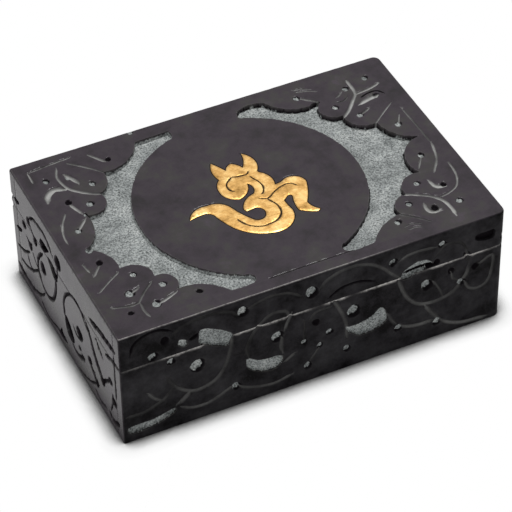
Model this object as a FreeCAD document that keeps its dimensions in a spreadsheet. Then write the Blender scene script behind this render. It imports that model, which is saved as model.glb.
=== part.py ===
# Carved soapstone box for a deck of tarot cards, with a hinged lid and a brass inlay.
# Units are millimetres. +X runs to the right, -Y is the front, +Z is up.
# The origin is the middle of the underside of the stone.
# The box is glued up from flat slabs. The front and back slabs cover the ends of the left
# and right ones, and the floor and the lid's panel are let in between all four.

import FreeCAD, Part
import os

import Sketcher

Vector = FreeCAD.Vector

doc = FreeCAD.newDocument("TarotCardBox")
sheet = doc.addObject("Spreadsheet::Sheet", "Sizes")

SIZES = (
    ("box_length", 152.4, "left to right, 6 inches"),
    ("box_width", 101.6, "front to back, 4 inches"),
    ("base_height", 35.5, "from the table to the seam"),
    ("lid_height", 15.5, "from the seam to the top face"),
    ("wall", 5.2, "thickness of the side slabs"),
    ("floor_thickness", 6.0, "slab let in at the bottom"),
    ("panel_thickness", 6.5, "slab let in at the top of the lid"),
    ("arris", 0.7, "chamfer on the two left corners and round the top"),
    ("ground_corner", 3.0, "radius of the two right corners, ground round"),
    ("disc_radius", 43.2, "plain disc left standing between the crescents"),
    ("crescent_depth", 1.8, "how deep the crescents are cut into the panel"),
    ("pit_depth", 1.1, "how deep the round pits are drilled"),
    ("gouge_depth", 1.3, "how deep the broad gouge cuts are"),
    ("om_width", 47.0, "overall width of the brass sign"),
    ("om_thickness", 1.5, "sheet brass, let in flush"),
    ("hinge_length", 19.0, "along the pin"),
    ("hinge_inset", 32.2, "from the middle of a hinge to the end of the box"),
    ("leaf_width", 3.9, "part of a leaf that lies in the seam"),
    ("leaf_thickness", 0.7, "sheet brass"),
    ("leaf_gap", 0.05, "from a leaf to the plane of the seam"),
    ("barrel_radius", 1.5, "outside of the knuckles"),
    ("barrel_clearance", 0.1, "from the knuckles to the back face"),
    ("knuckle_gap", 0.16, "between neighbouring knuckles"),
    ("pin_radius", 0.6, "hinge pin"),
    ("pin_clearance", 0.05, "radial, pin in knuckle"),
    ("mortise_clearance", 0.1, "round a leaf in its recess"),
    ("nail_radius", 0.6, "brass nails, filed flush with the leaves"),
    ("nail_length", 5.5, "from the face of the leaf"),
    ("nail_clearance", 0.02, "radial and endwise, nail in the stone"),
    ("nail_spacing", 11.5, "between the two nails of a leaf"),
)
for row, (name, value, note) in enumerate(SIZES, 1):
    sheet.set(f"A{row}", note)
    sheet.set(f"B{row}", str(value))
    sheet.setAlias(f"B{row}", name)
doc.recompute()

parts = []


def size(name):
    """A value of the sheet, for shapes whose points are worked out here."""
    return float(sheet.get(name))


def value(expression):
    """What an expression on the sheet comes to now."""
    return float(sheet.evalExpression(expression.replace("Sizes.", "")))


# Bodies, sketches and features


def new_body(name):
    body = doc.addObject("PartDesign::Body", name)
    body.Label = name
    parts.append(body)
    return body


def new_sketch(body, name, role, offset="0"):
    """A sketch on one of the body's own planes, moved along its normal by the offset."""
    sketch = body.newObject("Sketcher::SketchObject", f"{body.Name}_{name}")
    plane = next(item for item in body.Origin.OriginFeatures if item.Role == role)
    sketch.AttachmentSupport = [(plane, "")]
    sketch.MapMode = "FlatFace"
    sketch.setExpression("AttachmentOffset.Base.z", offset)
    return sketch


def bound(sketch, kind, *where, to):
    """A dimension that follows the expression."""
    index = sketch.addConstraint(Sketcher.Constraint(kind, *where, value(to)))
    sketch.setExpression(f"Constraints[{index}]", to)


def add_rectangle(sketch, left, right, low, high):
    """A rectangle whose four sides are given by expressions."""
    x0, x1, y0, y1 = (value(side) for side in (left, right, low, high))
    corners = [Vector(x0, y0), Vector(x1, y0), Vector(x1, y1), Vector(x0, y1)]
    first = sketch.GeometryCount
    for i in range(4):
        sketch.addGeometry(Part.LineSegment(corners[i], corners[(i + 1) % 4]), False)
    for i in range(4):
        ends = (first + i, 2, first + (i + 1) % 4, 1)
        sketch.addConstraint(Sketcher.Constraint("Coincident", *ends))
        sketch.addConstraint(Sketcher.Constraint("Vertical" if i % 2 else "Horizontal", first + i))
    bound(sketch, "DistanceX", -1, 1, first, 1, to=left)
    bound(sketch, "DistanceX", -1, 1, first + 1, 1, to=right)
    bound(sketch, "DistanceY", -1, 1, first, 1, to=low)
    bound(sketch, "DistanceY", -1, 1, first + 2, 1, to=high)


def add_circle(sketch, x, y, radius):
    """A circle whose middle and radius are given by expressions."""
    circle = Part.Circle(Vector(value(x), value(y)), Vector(0, 0, 1), value(radius))
    index = sketch.addGeometry(circle, False)
    bound(sketch, "DistanceX", -1, 1, index, 3, to=x)
    bound(sketch, "DistanceY", -1, 1, index, 3, to=y)
    bound(sketch, "Radius", index, to=radius)


def add_outline(sketch, points, at):
    """A closed outline. A step is the end of a line, or the middle and the end of an arc."""
    here = start = at(points[0])
    for step in points[1:]:
        if isinstance(step[0], tuple):
            end = at(step[1])
            sketch.addGeometry(Part.Arc(here, at(step[0]), end), False)
        else:
            end = at(step)
            sketch.addGeometry(Part.LineSegment(here, end), False)
        here = end
    if (here - start).Length > 1e-6:
        sketch.addGeometry(Part.LineSegment(here, start), False)


def pad(body, sketch, name, length, reverse=False):
    feature = body.newObject("PartDesign::Pad", f"{body.Name}_{name}")
    feature.Profile = sketch
    feature.Reversed = reverse
    feature.setExpression("Length", length)
    doc.recompute()
    return feature


def pocket(body, sketch, name, depth, reverse=False):
    """A pocket that has to take material away."""
    before = body.Shape.Volume
    feature = body.newObject("PartDesign::Pocket", f"{body.Name}_{name}")
    feature.Profile = sketch
    feature.Reversed = reverse
    feature.setExpression("Length", depth)
    doc.recompute()
    if feature.Shape.Volume >= before:
        raise ValueError(f"{feature.Name} cuts nothing")
    return feature


def dress(body, kind, name, wanted, **expressions):
    """A fillet or a chamfer on those edges of the body whose bounding box is wanted."""
    base = body.Tip
    edges = [
        f"Edge{number}" for number, edge in enumerate(base.Shape.Edges, 1) if wanted(edge.BoundBox)
    ]
    feature = body.newObject(f"PartDesign::{kind}", f"{body.Name}_{name}")
    feature.Base = (base, edges)
    for key, expression in expressions.items():
        feature.setExpression(key, expression)
    doc.recompute()


def place(body, turn=0, **where):
    """Turns the body about Z and ties its place to the sheet."""
    body.Placement = FreeCAD.Placement(Vector(), FreeCAD.Rotation(Vector(0, 0, 1), turn))
    for axis, expression in where.items():
        body.setExpression(f"Placement.Base.{axis}", expression)


# The carving, drawn on faces of these sizes and stretched to the faces of the box.
# Points on the lid are measured from its middle, to the right and to the back. Points on a
# side are measured from its middle line, to the right as seen from outside, and up from the
# table.

DRAWN_LENGTH, DRAWN_WIDTH = 152.4, 101.6
DRAWN_SEAM, DRAWN_TOP = 35.5, 51.0
DRAWN_WALL = 5.2
DISC_MIDDLE = (-2.6, -1.2)

# Each crescent starts and ends on the edge of the disc: a rounded tip at the back, the
# scallops of the outer side, and a rounded tip at the front.
CRESCENTS = {
    "left": (
        (-15.8, 39.8),
        ((-14.4, 42.2), (-15.2, 44.6)),
        (-28.7, 44.2),
        ((-35.6, 35.6), (-46.0, 33.5)),
        ((-46.3, 28.2), (-51.5, 23.2)),
        ((-52.0, 16.1), (-60.8, 14.3)),
        ((-60.8, 5.8), (-68.0, -3.0)),
        ((-62.4, -8.4), (-61.0, -17.4)),
        ((-53.4, -19.2), (-51.6, -26.2)),
        ((-45.8, -29.0), (-47.4, -35.8)),
        ((-38.0, -37.4), (-30.6, -44.9)),
        ((-26.0, -45.1), (-21.6, -44.8)),
        ((-20.0, -42.4), (-22.6, -39.7)),
    ),
    "right": (
        (12.4, 39.4),
        ((12.7, 42.8), (14.8, 44.2)),
        ((20.0, 45.0), (24.4, 43.8)),
        ((29.4, 37.4), (39.2, 34.4)),
        ((41.7, 35.4), (44.1, 34.8)),
        ((41.2, 28.6), (47.7, 24.0)),
        ((50.0, 16.8), (57.4, 14.6)),
        ((59.8, 7.0), (67.8, 0.6)),
        ((58.0, -6.4), (58.4, -18.0)),
        ((50.0, -19.8), (48.0, -26.4)),
        ((42.2, -29.0), (41.4, -35.2)),
        ((33.4, -37.6), (26.2, -44.6)),
        ((21.2, -45.1), (16.4, -44.8)),
        ((14.2, -42.6), (16.0, -40.2)),
    ),
}
# Pits: two distances and a radius. The back leaves out the front's own pits and gouges, which
# would lie where its hinges are.
LONG_PITS = ((-2.4, 43.4, 2.7), (-16.4, 27.5, 2.4), (14.1, 27.4, 2.8))
FRONT_PITS = ((-47.3, 27.0, 3.0), (43.8, 27.9, 2.2))
SHORT_PITS = ((-5.4, 41.2, 2.6), (12.6, 21.4, 2.5))
# Broad gouge cuts
LONG_GOUGES = (
    ((-28.1, 21.6), ((-21.8, 18.4), (-13.8, 17.8)), (-13.6, 14.2), ((-20.6, 13.0), (-26.9, 15.8))),
    ((12.3, 19.8), ((19.8, 20.4), (25.4, 24.2)), ((28.2, 21.4), (28.4, 17.6)),
     ((21.0, 14.2), (12.8, 16.8))),
    ((-74.4, 6.8), ((-65.8, 7.4), (-56.2, 9.4)), ((-64.4, 4.6), (-74.2, 4.6))),
    ((63.2, 42.0), (63.6, 43.6), (71.6, 43.8), (71.4, 40.4)),
)
FRONT_GOUGES = (
    ((-46.0, 38.4), (-45.2, 43.0), ((-38.6, 41.4), (-33.0, 36.4)), ((-33.8, 33.2), (-36.0, 31.6)),
     ((-41.6, 34.4), (-45.8, 36.6))),
    ((33.8, 36.2), ((38.6, 40.4), (46.4, 38.2)), ((40.6, 36.3), (34.2, 36.1))),
)
SHORT_GOUGES = (
    ((-24.7, 37.0), ((-21.1, 39.6), (-17.9, 37.6)), ((-21.3, 35.9), (-24.3, 35.9))),
    ((-13.4, 32.8), ((-10.0, 34.2), (-7.8, 31.0)), ((-10.0, 28.0), (-12.6, 30.0))),
    ((-2.9, 18.6), ((0.5, 18.2), (4.5, 13.6)), ((2.1, 9.2), (-1.3, 11.4))),
    ((23.2, 38.8), (44.4, 42.2), (44.6, 40.2), (23.4, 36.6)),
)

# The Om sign, measured like the lid's other points
DRAWN_OM_WIDTH = 47.0
OM_MIDDLE = (-4.7, -2.2)
OM_OUTLINE = (
    # top of the tail, and the lower bowl from inside
    (-28.2, -5.1),
    ((-25.2, -1.4), (-19.7, -0.5)),
    ((-14.7, -1.6), (-11.9, -5.5)),
    ((-9.8, -10.5), (-7.4, -14.5)),
    ((-4.4, -15.7), (-2.0, -13.5)),
    ((-2.1, -10.5), (-4.3, -9.0)),
    (-7.8, -9.4),
    (-8.3, -8.2),
    # lip of the lower bowl, and the upper bowl from inside
    ((-6.4, -4.6), (-1.5, -1.8)),
    ((0.0, 0.8), (-1.2, 4.4)),
    ((-3.0, 0.2), (-7.0, -2.3)),
    ((-10.6, -0.3), (-12.2, 4.2)),
    ((-11.5, 8.0), (-9.5, 10.6)),
    # left horn, the point between the horns, right horn
    ((-10.1, 15.4), (-8.4, 20.3)),
    ((-6.9, 17.8), (-5.1, 14.2)),
    ((-3.7, 16.2), (-1.9, 17.1)),
    ((-0.2, 15.6), (1.2, 13.1)),
    ((3.1, 16.4), (4.0, 20.6)),
    ((6.8, 15.8), (5.2, 9.3)),
    # back of the bowls
    (5.4, 8.3),
    ((7.9, 4.8), (7.7, -0.5)),
    # the arm on the right, out, down to its foot and back up inside
    ((9.9, -0.3), (12.1, 0.7)),
    ((17.0, 0.0), (18.8, -3.8)),
    ((17.2, -8.4), (14.1, -14.2)),
    ((14.5, -16.6), (16.6, -19.5)),
    ((16.1, -20.3), (15.0, -20.5)),
    ((12.2, -19.1), (9.5, -17.0)),
    ((9.7, -13.2), (10.7, -9.4)),
    ((10.1, -8.0), (8.8, -8.4)),
    (6.9, -9.9),
    # underside of the lower bowl and of the tail
    ((7.0, -12.8), (7.4, -15.8)),
    ((5.4, -21.1), (-1.5, -24.4)),
    ((-10.2, -21.4), (-15.8, -15.5)),
    ((-17.6, -11.4), (-19.0, -7.2)),
    ((-20.4, -4.8), (-22.9, -4.1)),
    ((-25.6, -4.4), (-28.2, -5.1)),
)


def on_panel(point):
    """Where a point of the lid's drawing lies on the panel, from the panel's middle."""
    across = (size("box_length") - 2 * size("wall")) / (DRAWN_LENGTH - 2 * DRAWN_WALL)
    along = (size("box_width") - 2 * size("wall")) / (DRAWN_WIDTH - 2 * DRAWN_WALL)
    return Vector(point[0] * across, point[1] * along)


def on_side(drawn_length, length, on_lid):
    """The same for a side slab, from the middle of its lower edge."""
    low = DRAWN_SEAM if on_lid else 0.0
    drawn_height = DRAWN_TOP - DRAWN_SEAM if on_lid else DRAWN_SEAM
    upward = size("lid_height" if on_lid else "base_height") / drawn_height

    def at(point):
        return Vector(point[0] * length / drawn_length, (point[1] - low) * upward)

    return at


def add_crescent(sketch, side, outline):
    """One crescent, closed along the edge of the disc."""
    add_outline(sketch, outline, on_panel)
    closing = sketch.GeometryCount - 1
    sketch.delGeometry(closing)
    reach = size("disc_radius") * (-1 if side == "left" else 1)
    edge = on_panel(DISC_MIDDLE) + Vector(reach, 0)
    start, end = on_panel(outline[0]), on_panel(outline[-1][1])
    sketch.addGeometry(Part.Arc(end, edge, start), False)


def add_om(sketch):
    """The sign in its place on the lid, as wide as the sheet says."""
    scale = size("om_width") / DRAWN_OM_WIDTH
    middle = on_panel(OM_MIDDLE)

    def at(point):
        return middle + Vector(point[0] - OM_MIDDLE[0], point[1] - OM_MIDDLE[1]) * scale

    add_outline(sketch, OM_OUTLINE, at)


def carve(body, at, pits, gouges, low, high):
    """Cuts the pits and gouges of a face that reach between the drawn heights."""
    sketch = new_sketch(body, "pit_marks", "XZ_Plane")
    for x, z, radius in pits:
        if low < z < high:
            sketch.addGeometry(Part.Circle(at((x, z)), Vector(0, 0, 1), radius), False)
    pocket(body, sketch, "pits", "Sizes.pit_depth")
    sketch = new_sketch(body, "gouge_marks", "XZ_Plane")
    for outline in gouges:
        heights = [step[-1][1] if isinstance(step[0], tuple) else step[1] for step in outline]
        if low < max(heights) and min(heights) < high:
            add_outline(sketch, outline, at)
    pocket(body, sketch, "gouges", "Sizes.gouge_depth")


# Side slabs of the base and of the lid. A slab is drawn lying along X with its outer face
# at Y = 0, looking towards -Y, and is then turned into place.


def side_slab(name, length, height):
    body = new_body(name)
    sketch = new_sketch(body, "outline", "XZ_Plane")
    add_rectangle(sketch, f"-({length}) / 2", f"({length}) / 2", "0", height)
    pad(body, sketch, "slab", "Sizes.wall", reverse=True)
    return body


def shape_corners(body, round_side):
    """Grinds the upright outer edge on one side round and chamfers the other one."""
    half = size("box_length") / 2

    def upright(box, x):
        thin = box.XLength < 1e-6 and box.YMax < 1e-6
        return thin and box.ZLength > 1e-6 and abs(box.XMin - x) < 1e-6

    dress(body, "Fillet", "ground_corner", lambda box: upright(box, round_side * half),
          Radius="Sizes.ground_corner")
    dress(body, "Chamfer", "arris", lambda box: upright(box, -round_side * half),
          Size="Sizes.arris")


def break_top_edge(body, ends):
    """Chamfers the upper outer edge, and on a covering slab the upper edges of its ends."""
    top = body.Shape.BoundBox.ZMax

    def wanted(box):
        outer = box.YMax < size("wall") - 1e-6 or (ends and box.XLength < 1e-6)
        return box.ZMin > top - 1e-6 and outer and (ends or box.XLength > 1e-6)

    dress(body, "Chamfer", "top_arris", wanted, Size="Sizes.arris")


def make_sides(prefix, word, height, on_lid):
    """The four side slabs of the base or of the lid, carved and turned into place."""
    low, high = (DRAWN_SEAM, DRAWN_TOP) if on_lid else (0.0, DRAWN_SEAM)
    level = "Sizes.base_height" if on_lid else "0"
    half_length, half_width = "Sizes.box_length / 2", "Sizes.box_width / 2"
    made = {}
    for side, turn, y in (("front", 0, f"-{half_width}"), ("back", 180, half_width)):
        body = side_slab(f"{prefix}_{side}_{word}", "Sizes.box_length", height)
        shape_corners(body, 1 if side == "front" else -1)
        if on_lid:
            break_top_edge(body, ends=True)
        pits, gouges = LONG_PITS, LONG_GOUGES
        if side == "front":
            pits, gouges = pits + FRONT_PITS, gouges + FRONT_GOUGES
        at = on_side(DRAWN_LENGTH, size("box_length"), on_lid)
        carve(body, at, pits, gouges, low, high)
        place(body, turn, y=y, z=level)
        made[side] = body
    for side, turn, x in (("left", -90, f"-{half_length}"), ("right", 90, half_length)):
        inner = "Sizes.box_width - 2 * Sizes.wall"
        body = side_slab(f"{prefix}_{side}_{word}", inner, height)
        if on_lid:
            break_top_edge(body, ends=False)
        at = on_side(DRAWN_WIDTH, size("box_width"), on_lid)
        carve(body, at, SHORT_PITS, SHORT_GOUGES, low, high)
        place(body, turn, x=x, z=level)
        made[side] = body
    return made


base = make_sides("base", "wall", "Sizes.base_height", on_lid=False)
lid = make_sides("lid", "rim", "Sizes.lid_height", on_lid=True)


# Hinge recesses and nail holes in the two back slabs, which meet at the seam

HINGES = {"left": -1, "right": 1}


def hinge_middle(way):
    return f"{way} * (Sizes.box_length / 2 - Sizes.hinge_inset)"


def seat_hinges(body, level, reverse):
    """Cuts a shallow recess for each leaf, and two nail holes under it."""
    recess = new_sketch(body, "leaf_recesses", "XY_Plane", level)
    holes = new_sketch(body, "nail_holes", "XY_Plane", level)
    for way in HINGES.values():
        middle = hinge_middle(way)
        reach = "(Sizes.hinge_length / 2 + Sizes.mortise_clearance)"
        add_rectangle(recess, f"{middle} - {reach}", f"{middle} + {reach}",
                      "-Sizes.wall", "Sizes.leaf_width + Sizes.mortise_clearance")
        for nail in (-1, 1):
            add_circle(holes, f"{middle} + {nail} * Sizes.nail_spacing / 2",
                       "Sizes.leaf_width / 2", "Sizes.nail_radius + Sizes.nail_clearance")
    pocket(body, recess, "recesses", "Sizes.leaf_gap + Sizes.leaf_thickness", reverse)
    depth = "Sizes.leaf_gap + Sizes.nail_length + Sizes.nail_clearance"
    pocket(body, holes, "holes", depth, reverse)


seat_hinges(base["back"], "Sizes.base_height", False)
seat_hinges(lid["back"], "0", True)


# Floor of the base, a plain slab between the four walls

INSIDE = ("-Sizes.box_length / 2 + Sizes.wall", "Sizes.box_length / 2 - Sizes.wall",
          "-Sizes.box_width / 2 + Sizes.wall", "Sizes.box_width / 2 - Sizes.wall")

floor = new_body("base_floor")
floor_outline = new_sketch(floor, "outline", "XY_Plane")
add_rectangle(floor_outline, *INSIDE)
pad(floor, floor_outline, "slab", "Sizes.floor_thickness")


# Panel of the lid, a slab between the four rims, with the crescents and the seat of the
# brass sign

panel = new_body("lid_top_panel")
panel_outline = new_sketch(panel, "outline", "XY_Plane")
add_rectangle(panel_outline, *INSIDE)
pad(panel, panel_outline, "slab", "Sizes.panel_thickness")
crescents = new_sketch(panel, "crescent_outlines", "XY_Plane", "Sizes.panel_thickness")
for side, outline in CRESCENTS.items():
    add_crescent(crescents, side, outline)
pocket(panel, crescents, "crescents", "Sizes.crescent_depth")
om_seat = new_sketch(panel, "om_seat_outline", "XY_Plane", "Sizes.panel_thickness")
add_om(om_seat)
pocket(panel, om_seat, "om_seat", "Sizes.om_thickness")
place(panel, z="Sizes.base_height + Sizes.lid_height - Sizes.panel_thickness")


# Brass sign, sawn from sheet and glued into its seat

om = new_body("om_inlay")
om_outline = new_sketch(om, "outline", "XY_Plane")
add_om(om_outline)
pad(om, om_outline, "sheet", "Sizes.om_thickness", reverse=True)
place(om, z="Sizes.base_height + Sizes.lid_height")


# Butt hinges. Each is drawn with the middle of its pin at the origin, the pin along X and
# the leaves reaching towards -Y, one just under and one just over the plane of the seam.

KNUCKLES = 3
BACK_FACE = "-(Sizes.barrel_radius + Sizes.barrel_clearance)"
PIN_BEHIND = "Sizes.box_width / 2 + Sizes.barrel_clearance + Sizes.barrel_radius"


def hinge_leaf(name, way, on_lid):
    """A leaf with its rolled knuckles: the outer two on the base, the middle one on the lid."""
    body = new_body(name)
    face = "Sizes.leaf_gap" if on_lid else "-Sizes.leaf_gap"
    plate = new_sketch(body, "plate_outline", "XY_Plane", face)
    add_rectangle(plate, "-Sizes.hinge_length / 2", "Sizes.hinge_length / 2",
                  f"{BACK_FACE} - Sizes.leaf_width", BACK_FACE)
    pad(body, plate, "plate", "Sizes.leaf_thickness", reverse=not on_lid)

    # Each knuckle is a ring, joined to the plate by a tongue that stops short of its bore.
    bore = "(Sizes.pin_radius + Sizes.pin_clearance)"
    length = f"(Sizes.hinge_length / {KNUCKLES} - Sizes.knuckle_gap)"
    for number in range(int(on_lid), KNUCKLES, 2):
        start = (f"-Sizes.hinge_length / 2 + {number} * Sizes.hinge_length / {KNUCKLES}"
                 " + Sizes.knuckle_gap / 2")
        tongue = new_sketch(body, f"tongue_{number}_outline", "XY_Plane", face)
        add_rectangle(tongue, start, f"{start} + {length}", f"{BACK_FACE} - Sizes.leaf_width / 4",
                      f"-(Sizes.barrel_radius + {bore}) / 2")
        pad(body, tongue, f"tongue_{number}", "Sizes.leaf_thickness", reverse=not on_lid)
        ring = new_sketch(body, f"knuckle_{number}_outline", "YZ_Plane", start)
        add_circle(ring, "0", "0", "Sizes.barrel_radius")
        add_circle(ring, "0", "0", bore)
        pad(body, ring, f"knuckle_{number}", length)

    holes = new_sketch(body, "nail_holes_outline", "XY_Plane", face)
    for nail in (-1, 1):
        add_circle(holes, f"{nail} * Sizes.nail_spacing / 2",
                   f"{BACK_FACE} - Sizes.leaf_width / 2", "Sizes.nail_radius")
    pocket(body, holes, "nail_holes", "Sizes.leaf_thickness", reverse=on_lid)
    place(body, x=hinge_middle(way), y=PIN_BEHIND, z="Sizes.base_height")


def hinge_pin(name, way):
    """The pin, as long as the row of knuckles."""
    body = new_body(name)
    half = "(Sizes.hinge_length - Sizes.knuckle_gap) / 2"
    outline = new_sketch(body, "outline", "YZ_Plane", f"-{half}")
    add_circle(outline, "0", "0", "Sizes.pin_radius")
    pad(body, outline, "shaft", f"2 * {half}")
    place(body, x=hinge_middle(way), y=PIN_BEHIND, z="Sizes.base_height")


def hinge_nails(name, on_lid):
    """The four nails through the two leaves on one side of the seam."""
    low = "Sizes.leaf_gap" if on_lid else "-Sizes.leaf_gap - Sizes.nail_length"
    nails = []
    for way in HINGES.values():
        for nail in (-1, 1):
            item = doc.addObject("Part::Cylinder", f"{name}_{len(nails) + 1}")
            item.setExpression("Radius", "Sizes.nail_radius")
            item.setExpression("Height", "Sizes.nail_length")
            item.setExpression("Placement.Base.x",
                               f"{hinge_middle(way)} + {nail} * Sizes.nail_spacing / 2")
            item.setExpression("Placement.Base.y", "Sizes.box_width / 2 - Sizes.leaf_width / 2")
            item.setExpression("Placement.Base.z", f"Sizes.base_height + ({low})")
            nails.append(item)
    group = doc.addObject("Part::Compound", name)
    group.Label = name
    group.Links = nails
    parts.append(group)


for hand, way in HINGES.items():
    hinge_leaf(f"hinge_base_leaf_{hand}", way, on_lid=False)
    hinge_leaf(f"hinge_lid_leaf_{hand}", way, on_lid=True)
    hinge_pin(f"hinge_pin_{hand}", way)
hinge_nails("hinge_base_nails", on_lid=False)
hinge_nails("hinge_lid_nails", on_lid=True)


# Checks, then one file for each piece

doc.recompute()
for item in doc.Objects:
    if "Invalid" in item.State or "Error" in item.State:
        raise ValueError(f"{item.Label} failed: {item.State}")
for part in parts:
    if part.Shape.isNull() or not part.Shape.isValid() or not part.Shape.Solids:
        raise ValueError(f"{part.Label} has no valid solid")
os.makedirs("parts", exist_ok=True)
for part in parts:
    part.Shape.exportStep(f"parts/{part.Label}.step")
    print(part.Label, len(part.Shape.Solids), "solid(s),", round(part.Shape.Volume, 1), "mm3")
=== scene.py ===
import math

import bmesh
import bpy
import numpy as np
from mathutils import Matrix, Quaternion, Vector
from mathutils.geometry import delaunay_2d_cdt


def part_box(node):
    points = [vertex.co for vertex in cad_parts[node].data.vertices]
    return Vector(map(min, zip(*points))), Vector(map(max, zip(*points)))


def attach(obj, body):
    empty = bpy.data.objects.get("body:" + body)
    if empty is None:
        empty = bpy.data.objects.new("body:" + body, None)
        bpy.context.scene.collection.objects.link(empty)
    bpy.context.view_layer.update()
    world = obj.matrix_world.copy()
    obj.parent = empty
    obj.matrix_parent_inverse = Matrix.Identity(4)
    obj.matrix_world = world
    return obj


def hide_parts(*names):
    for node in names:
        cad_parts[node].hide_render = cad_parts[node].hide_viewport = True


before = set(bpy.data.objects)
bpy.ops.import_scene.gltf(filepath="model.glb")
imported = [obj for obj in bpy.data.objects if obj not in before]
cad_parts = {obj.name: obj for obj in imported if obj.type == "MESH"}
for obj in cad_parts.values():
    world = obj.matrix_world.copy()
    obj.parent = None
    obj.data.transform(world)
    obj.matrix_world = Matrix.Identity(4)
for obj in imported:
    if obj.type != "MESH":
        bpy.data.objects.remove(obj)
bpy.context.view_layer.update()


# Floor of the base
# A plain slab of soapstone let in between the four walls and glued. Nobody sees it until the
# lid is opened, so it is left as the saw and the rubbing stone left it: grey, bare, speckled.

MM = 0.001


def new_socket_group(name, inputs, outputs):
    """A shader group with the named float inputs and (name, type) outputs."""
    group = bpy.data.node_groups.new(name, "ShaderNodeTree")
    for label, default in inputs:
        socket = group.interface.new_socket(label, in_out="INPUT", socket_type="NodeSocketFloat")
        socket.default_value = default
    for label, kind in outputs:
        group.interface.new_socket(label, in_out="OUTPUT", socket_type=f"NodeSocket{kind}")
    return group, group.nodes.new("NodeGroupInput"), group.nodes.new("NodeGroupOutput")


def noise_node(tree, scale, detail=2.0, roughness=0.5, stretch=None):
    """Noise by the object's own coordinates, in metres. Stretch scales the three axes."""
    coords = tree.nodes.new("ShaderNodeTexCoord")
    mapping = tree.nodes.new("ShaderNodeMapping")
    mapping.inputs["Scale"].default_value = stretch or (1, 1, 1)
    tree.links.new(coords.outputs["Object"], mapping.inputs["Vector"])
    node = tree.nodes.new("ShaderNodeTexNoise")
    node.inputs["Scale"].default_value = scale
    node.inputs["Detail"].default_value = detail
    node.inputs["Roughness"].default_value = roughness
    tree.links.new(mapping.outputs["Vector"], node.inputs["Vector"])
    return node


def ramp_node(tree, source, stops):
    """A colour ramp with (position, colour) stops."""
    ramp = tree.nodes.new("ShaderNodeValToRGB")
    elements = ramp.color_ramp.elements
    while len(elements) < len(stops):
        elements.new(0.5)
    for element, (position, colour) in zip(elements, stops):
        element.position = position
        element.color = (*colour, 1) if len(colour) == 3 else colour
    tree.links.new(source, ramp.inputs["Fac"])
    return ramp.outputs["Color"]


def math_node(tree, operation, *values, clamp=False):
    node = tree.nodes.new("ShaderNodeMath")
    node.operation = operation
    node.use_clamp = clamp
    for socket, given in zip(node.inputs, values):
        if isinstance(given, (int, float)):
            socket.default_value = given
        else:
            tree.links.new(given, socket)
    return node.outputs[0]


def mix_node(tree, factor, first, second):
    """Mixes two colours."""
    node = tree.nodes.new("ShaderNodeMix")
    node.data_type = "RGBA"
    sockets = [s for s in node.inputs if s.enabled]
    for socket, given in zip(sockets, (factor, first, second)):
        if isinstance(given, (tuple, float, int)):
            socket.default_value = (*given, 1) if isinstance(given, tuple) else given
        else:
            tree.links.new(given, socket)
    return next(s for s in node.outputs if s.enabled)


# Soapstone without dye: pale grey green, clouded, with dark and light grains
raw_stone, raw_in, raw_out = new_socket_group(
    "bare_soapstone", [], [("Color", "Color"), ("Height", "Float")]
)
clouds = noise_node(raw_stone, 90.0, 3.0, 0.6)
grains = noise_node(raw_stone, 1500.0, 3.0, 0.75)
cloud_colour = ramp_node(
    raw_stone,
    clouds.outputs["Fac"],
    [(0.3, (0.22, 0.235, 0.235)), (0.52, (0.34, 0.36, 0.36)), (0.72, (0.47, 0.49, 0.485))],
)
grain_shade = ramp_node(
    raw_stone,
    grains.outputs["Fac"],
    [(0.35, (0.06, 0.07, 0.06)), (0.5, (0.8, 0.8, 0.8)), (0.66, (1.5, 1.5, 1.45))],
)
shaded = raw_stone.nodes.new("ShaderNodeMix")
shaded.data_type = "RGBA"
shaded.blend_type = "MULTIPLY"
shaded_inputs = [s for s in shaded.inputs if s.enabled]
shaded_inputs[0].default_value = 0.85
raw_stone.links.new(cloud_colour, shaded_inputs[1])
raw_stone.links.new(grain_shade, shaded_inputs[2])
shaded_colour = next(s for s in shaded.outputs if s.enabled)
raw_stone.links.new(shaded_colour, raw_out.inputs["Color"])
raw_stone.links.new(grains.outputs["Fac"], raw_out.inputs["Height"])

sawn_stone = bpy.data.materials.new("sawn_soapstone")
sawn_stone.use_nodes = True
tree = sawn_stone.node_tree
shader = tree.nodes["Principled BSDF"]
shader.inputs["Specular IOR Level"].default_value = 0.3
stone_look = tree.nodes.new("ShaderNodeGroup")
stone_look.node_tree = raw_stone
saw_marks = noise_node(tree, 260.0, 2.0, 0.5, stretch=(0.15, 1.0, 0.15))
tree.links.new(stone_look.outputs["Color"], shader.inputs["Base Color"])
saw_roughness = math_node(tree, "MULTIPLY_ADD", saw_marks.outputs["Fac"], 0.25, 0.5)
tree.links.new(saw_roughness, shader.inputs["Roughness"])
saw_height = math_node(
    tree, "MULTIPLY_ADD", stone_look.outputs["Height"], 0.4, saw_marks.outputs["Fac"]
)
saw_bump = tree.nodes.new("ShaderNodeBump")
saw_bump.inputs["Strength"].default_value = 0.35
saw_bump.inputs["Distance"].default_value = 0.1 * MM
tree.links.new(saw_height, saw_bump.inputs["Height"])
tree.links.new(saw_bump.outputs["Normal"], shader.inputs["Normal"])

floor_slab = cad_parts["base_floor"]
floor_slab.data.materials.clear()
floor_slab.data.materials.append(sawn_stone)


# Walls of the base
# Four slabs of soapstone, glued at the corners with the front and back covering the ends of
# the other two. The outside is drawn with loops, rings and pits by hand with small gouges,
# dyed black and waxed; where the gouge went deep and wide, the bare stone shows.

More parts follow.
